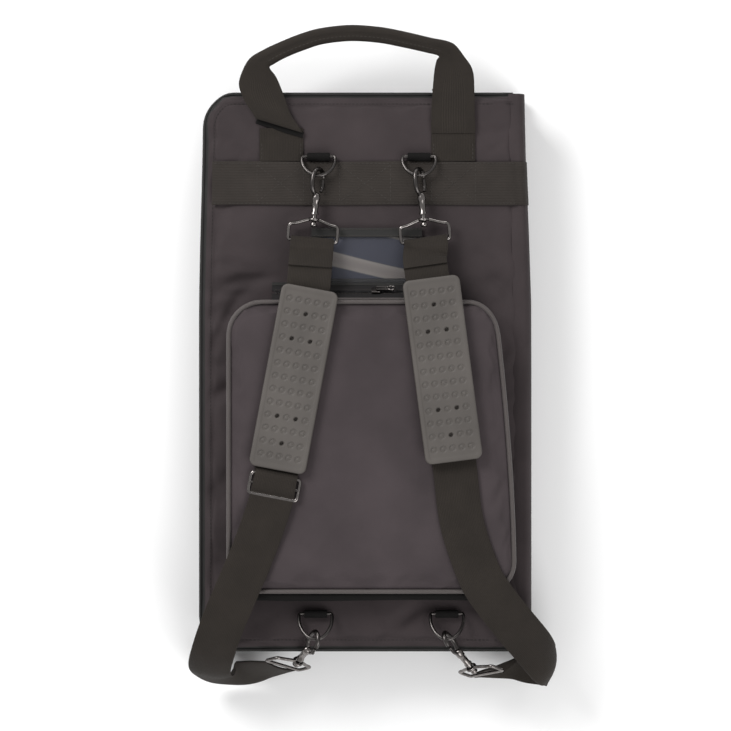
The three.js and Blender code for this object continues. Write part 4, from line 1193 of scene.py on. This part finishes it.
def build_pad(side):
    """A moulded rubber pad with a raised rim, rows of ringed dimples and six small holes."""
    node = f"shoulder_pad_{side}"
    a, b = box(node)
    axis = axis_of(f"{node}_slide")
    seat = Seat((a + b) / 2, np.cross(axis, UP), axis)
    half_w, half_l, thick = PAD["wide"] / 2, PAD["long"] / 2, PAD["thick"]
    outline = Outline(-half_w, -half_l, half_w, half_l, [6, 6, 6, 6])
    cell = 0.62
    edge = np.array([0, 0.35, 0.9, 1.6])
    u = np.concatenate([edge, np.arange(2.2, PAD["wide"] - 2.0, cell), (PAD["wide"] - edge)[::-1]]) / PAD["wide"]
    r = outline.radii[0]
    arc = r * (1 - np.cos(np.linspace(0, math.pi / 2, 9)))
    rows = np.concatenate([-half_l + arc[:-1], np.arange(-half_l + r, half_l - r, cell), (half_l - arc)[::-1]])
    x, y, d = fitted(outline, u, rows)
    top = thick / 2 - 1.5 * (1 - np.sqrt(np.clip(1 - np.clip(1 - d / 1.5, 0, 1) ** 2, 0, 1)))
    top -= 0.55 * np.clip((d - 3.4) / 0.8, 0, 1)
    columns = (np.arange(PAD["columns"]) - 2) * 8.0
    lines = (np.arange(PAD["rows"]) - 6) * 11.2
    for i, cy in enumerate(lines):
        for k, cx in enumerate(columns):
            away = np.hypot(x - cx, y + cy)
            if (i, k) in HOLES:
                top -= 3.4 * np.clip((2.0 - away) / 0.7, 0, 1)
            else:
                top -= 0.95 * np.clip((3.1 - away) / 0.8, 0, 1) - 0.7 * np.clip((1.7 - away) / 0.7, 0, 1)
    ny, nx = x.shape
    upper = np.stack([x, y, top], axis=2).reshape(-1, 3)
    index = np.arange(ny * nx).reshape(ny, nx)
    ring = border_of(index)
    lower = upper[ring].copy()
    lower[:, 2] = -thick / 2 + 0.4
    base = lower * arr(0.985, 0.995, 1)
    base[:, 2] = -thick / 2
    points = np.vstack([upper, lower, base])
    n, count = ny * nx, len(ring)
    wall, foot = list(range(n, n + count)), list(range(n + count, n + 2 * count))
    faces = grid(index) + skirt(ring, wall) + skirt(wall, foot) + [foot]
    piece = make(f"{node}_rubber", seat.out(points), faces, RUBBER, node, [node], None, 180)


def hemmed(path, across, bar, length):
    """The strap's path with its end turned back under it round a bar."""
    run, side, over = strip_frame(path, across)
    walk = walked(path)
    under_at = np.arange(length, 4, -2.0)
    under = []
    for s in under_at:
        under.append(sample(path, walk, s) - sample(over, walk,
                                                    s) * (WEB_THICK + 0.35 + 3.0 * (1 - s / length) ** 3))
    radius = LOOP["wire"] + WEB_THICK / 2 + 0.35
    arc = [bar + radius * (-math.cos(t) * over[0] - math.sin(t) * run[0])
           for t in np.linspace(0.1, math.pi - 0.2, 12)]
    line = np.vstack([under, arc, path[2:]])
    sides = np.vstack([np.tile(side[0], (len(under) + len(arc), 1)), side[2:]])
    made = spline(np.hstack([line, sides]), 1.3)
    return made[:, :3], made[:, 3:]


def across_rows(path, across, walk_to, inset=2.0, lift=WEB_THICK / 2 + 0.12):
    """Lines across a strap at given distances along it."""
    _, side, over = strip_frame(path, across)
    walk = walked(path)
    lines = []
    for s in walk_to:
        place, way, up = (sample(rows, walk, s) for rows in (path, side, over))
        reach = WEB_WIDE / 2 - inset
        lines.append([place + way * t + up * lift for t in (-reach, reach)])
    return lines


def build_strap(side):
    """A shoulder strap from its upper ring to its lower one, with everything on it."""
    data = STRAPS[side]
    build_ring(side, "upper", UPPER_RING)
    build_ring(side, "lower", LOWER_RING)
    hook = build_hook(side, "upper")
    down, across = data["loop"]
    bar, seat = build_loop(side, "upper", hook, down, across, f"strap_{side}")
    over = np.cross(unit(across), unit(down))
    over = over if over[2] > 0 else -over
    start = bar + over * (LOOP["wire"] + WEB_THICK / 2 + 0.3)
    upper = data["upper"]
    rows = [(*start, *seat.x), (*(start + unit(down) * 5), *seat.x)]
    sideways = [unit(np.cross(UP, arr(*b) - arr(*a))) for a, b in zip(upper, upper[1:] + [upper[-1]])]
    sideways[-1] = sideways[-2]
    sideways = [-s if s[0] < 0 else s for s in sideways]
    rows += [(*p, *s) for p, s in zip(upper, sideways)]
    made = spline(rows, 1.5)
    top, width = made[:, :3], made[:, 3:]
    path, wide = hemmed(top, width, bar, 26)
    strip(f"upper_strap_{side}", path, wide, WEBBING, f"strap_{side}", [f"upper_webbing_{side}"])
    stitches(f"upper_strap_stitch_{side}", across_rows(top, width, (7, 10, 22, 25)), STITCH, f"strap_{side}")
    build_pad(side)
    build_adjuster(side)
    low_hook = build_hook(side, "lower")
    down, across = data["low_loop"]
    bar, seat = build_loop(side, "lower", low_hook, down, across, "back_cover")
    end = bar + unit(down) * 1.2
    last_across = seat.x if side == "right" else -seat.x
    last = [(*(bar + unit(down) * 4.5), *last_across), (*end, *last_across)]
    made = spline([*data["lower"], *last], 2.0)
    path, wide = made[:, :3], made[:, 3:]
    turn = np.exp(-(((path[:, 2] - TURN_LEVEL) / 26) ** 2))
    cup = 0.3 - (CUP[side] + 0.3) * turn
    piece = strip(f"lower_strap_{side}", path, wide, WEBBING, None, [f"lower_webbing_{side}"], bow=cup)
    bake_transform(piece)
    ends = across_rows(path, wide, (6, 9))
    stitches(f"lower_strap_stitch_{side}", ends, STITCH, f"strap_{side}")


def build_adjuster(side):
    node = f"adjuster_{side}"
    joint = f"{node}_tilt"
    axis = axis_of(joint)
    y = np.cross(UP, axis)
    tuck = 12 if side == "right" else 9
    seat = Seat(place_of(joint) + tuck * y, axis, y)
    w, h = 21, 9
    corner = [(w - 2.5, h), (w - 0.6, h - 0.7), (w, h - 2.6)]
    right = [(x, -y) for x, y in corner] + [(w, 0)] + corner[::-1]
    left = [(-x, y) for x, y in right[::-1]]
    corners = [left[-1], (0, -h), *right, (0, h), *left[:-1]]
    path = spline(seat.out([(a, b, 0) for a, b in corners]), 1.2, closed=True)
    tube(f"{node}_frame", path, 1.55, BRIGHT, node, [node], closed=True, flat=0.8)
    bar = seat.out([(a, 0, 0) for a in np.linspace(-w, w, 8)])
    tube(f"{node}_bar", bar, 1.35, METAL, node)
    if side == "right":
        return  # its pad lies over this part
    line = [(13, -1.6), (11.2, 0.6), (8.6, 2.5), (4, 2.5), (0, 2.5), (-4, 1.6), (-7, -0.6)]
    wrap = spline(seat.out([(0, y, z) for y, z in line]), 0.8)
    strip(f"{node}_wrap", wrap, seat.x, WEBBING, node, wide=WEB_WIDE - 1)


# ---- Stage -----------------------------------------------------------------------------------------
# In metres and watts.
FLOOR_HALF, FLOOR_LEVEL = 4.0, -0.0004
LAMPS = (  # place, size, power
    ("key", (-1.1, 1.1, 1.35), 0.9, 26.0),
    ("fill", (0.9, -1.5, 1.7), 1.6, 24.0),
    ("strip", (0.3, 1.6, 0.6), 0.5, 4.0),
)
LAMP_AIM = Vector((0, 0, 0.03))
SKY = 0.42
EXPOSURE = 0.32
CAMERA_AT = (0.0004, 0.0056, 3.07)
CAMERA_LENS = 171.8


def build_stage():
    floor = bpy.data.meshes.new("floor")
    ends = ((-1, -1), (1, -1), (1, 1), (-1, 1))
    floor.from_pydata([(x * FLOOR_HALF, y * FLOOR_HALF, FLOOR_LEVEL) for x, y in ends], [], [(0, 1, 2, 3)])
    look = Look("floor")
    grain = look.texture("Noise", 3.0)
    look.paint(look.ramp(grain, [(0.0, (0.93, 0.93, 0.93)), (1.0, (0.95, 0.95, 0.95))]))
    look.set(Roughness=0.9, Specular_IOR_Level=0.1)
    floor.materials.append(look.material)
    piece = bpy.data.objects.new("floor", floor)
    bpy.context.scene.collection.objects.link(piece)
    scene = bpy.context.scene
    world = bpy.data.worlds.new("studio")
    world.use_nodes = True
    sky = world.node_tree.nodes["Background"].inputs
    sky["Color"].default_value = (1, 1, 1, 1)
    sky["Strength"].default_value = SKY
    scene.world = world
    for name, at, size, power in LAMPS:
        light = bpy.data.lights.new(name, "AREA")
        light.shape = "SQUARE"
        light.size = size
        light.energy = power
        lamp = bpy.data.objects.new(name, light)
        scene.collection.objects.link(lamp)
        lamp.location = at
        lamp.rotation_mode = "QUATERNION"
        lamp.rotation_quaternion = (LAMP_AIM - Vector(at)).to_track_quat("-Z", "Y")
    camera = bpy.data.cameras.new("camera")
    camera.sensor_width = 36
    camera.lens = CAMERA_LENS
    view = bpy.data.objects.new("camera", camera)
    scene.collection.objects.link(view)
    view.location = CAMERA_AT
    scene.camera = view
    scene.view_settings.view_transform = "Standard"
    scene.view_settings.exposure = EXPOSURE


build_cover("back_cover", 1, 3)
build_cover("front_cover", -1, 8)
build_spine()
build_sleeves("back_cover", 1)
build_sleeves("front_cover", -1)
build_cover_stitching()
build_main_slider()
build_pocket()
build_pocket_zip()
build_window()
build_band()
build_handle()
for strap_side in SIDES:
    build_strap(strap_side)
build_stage()
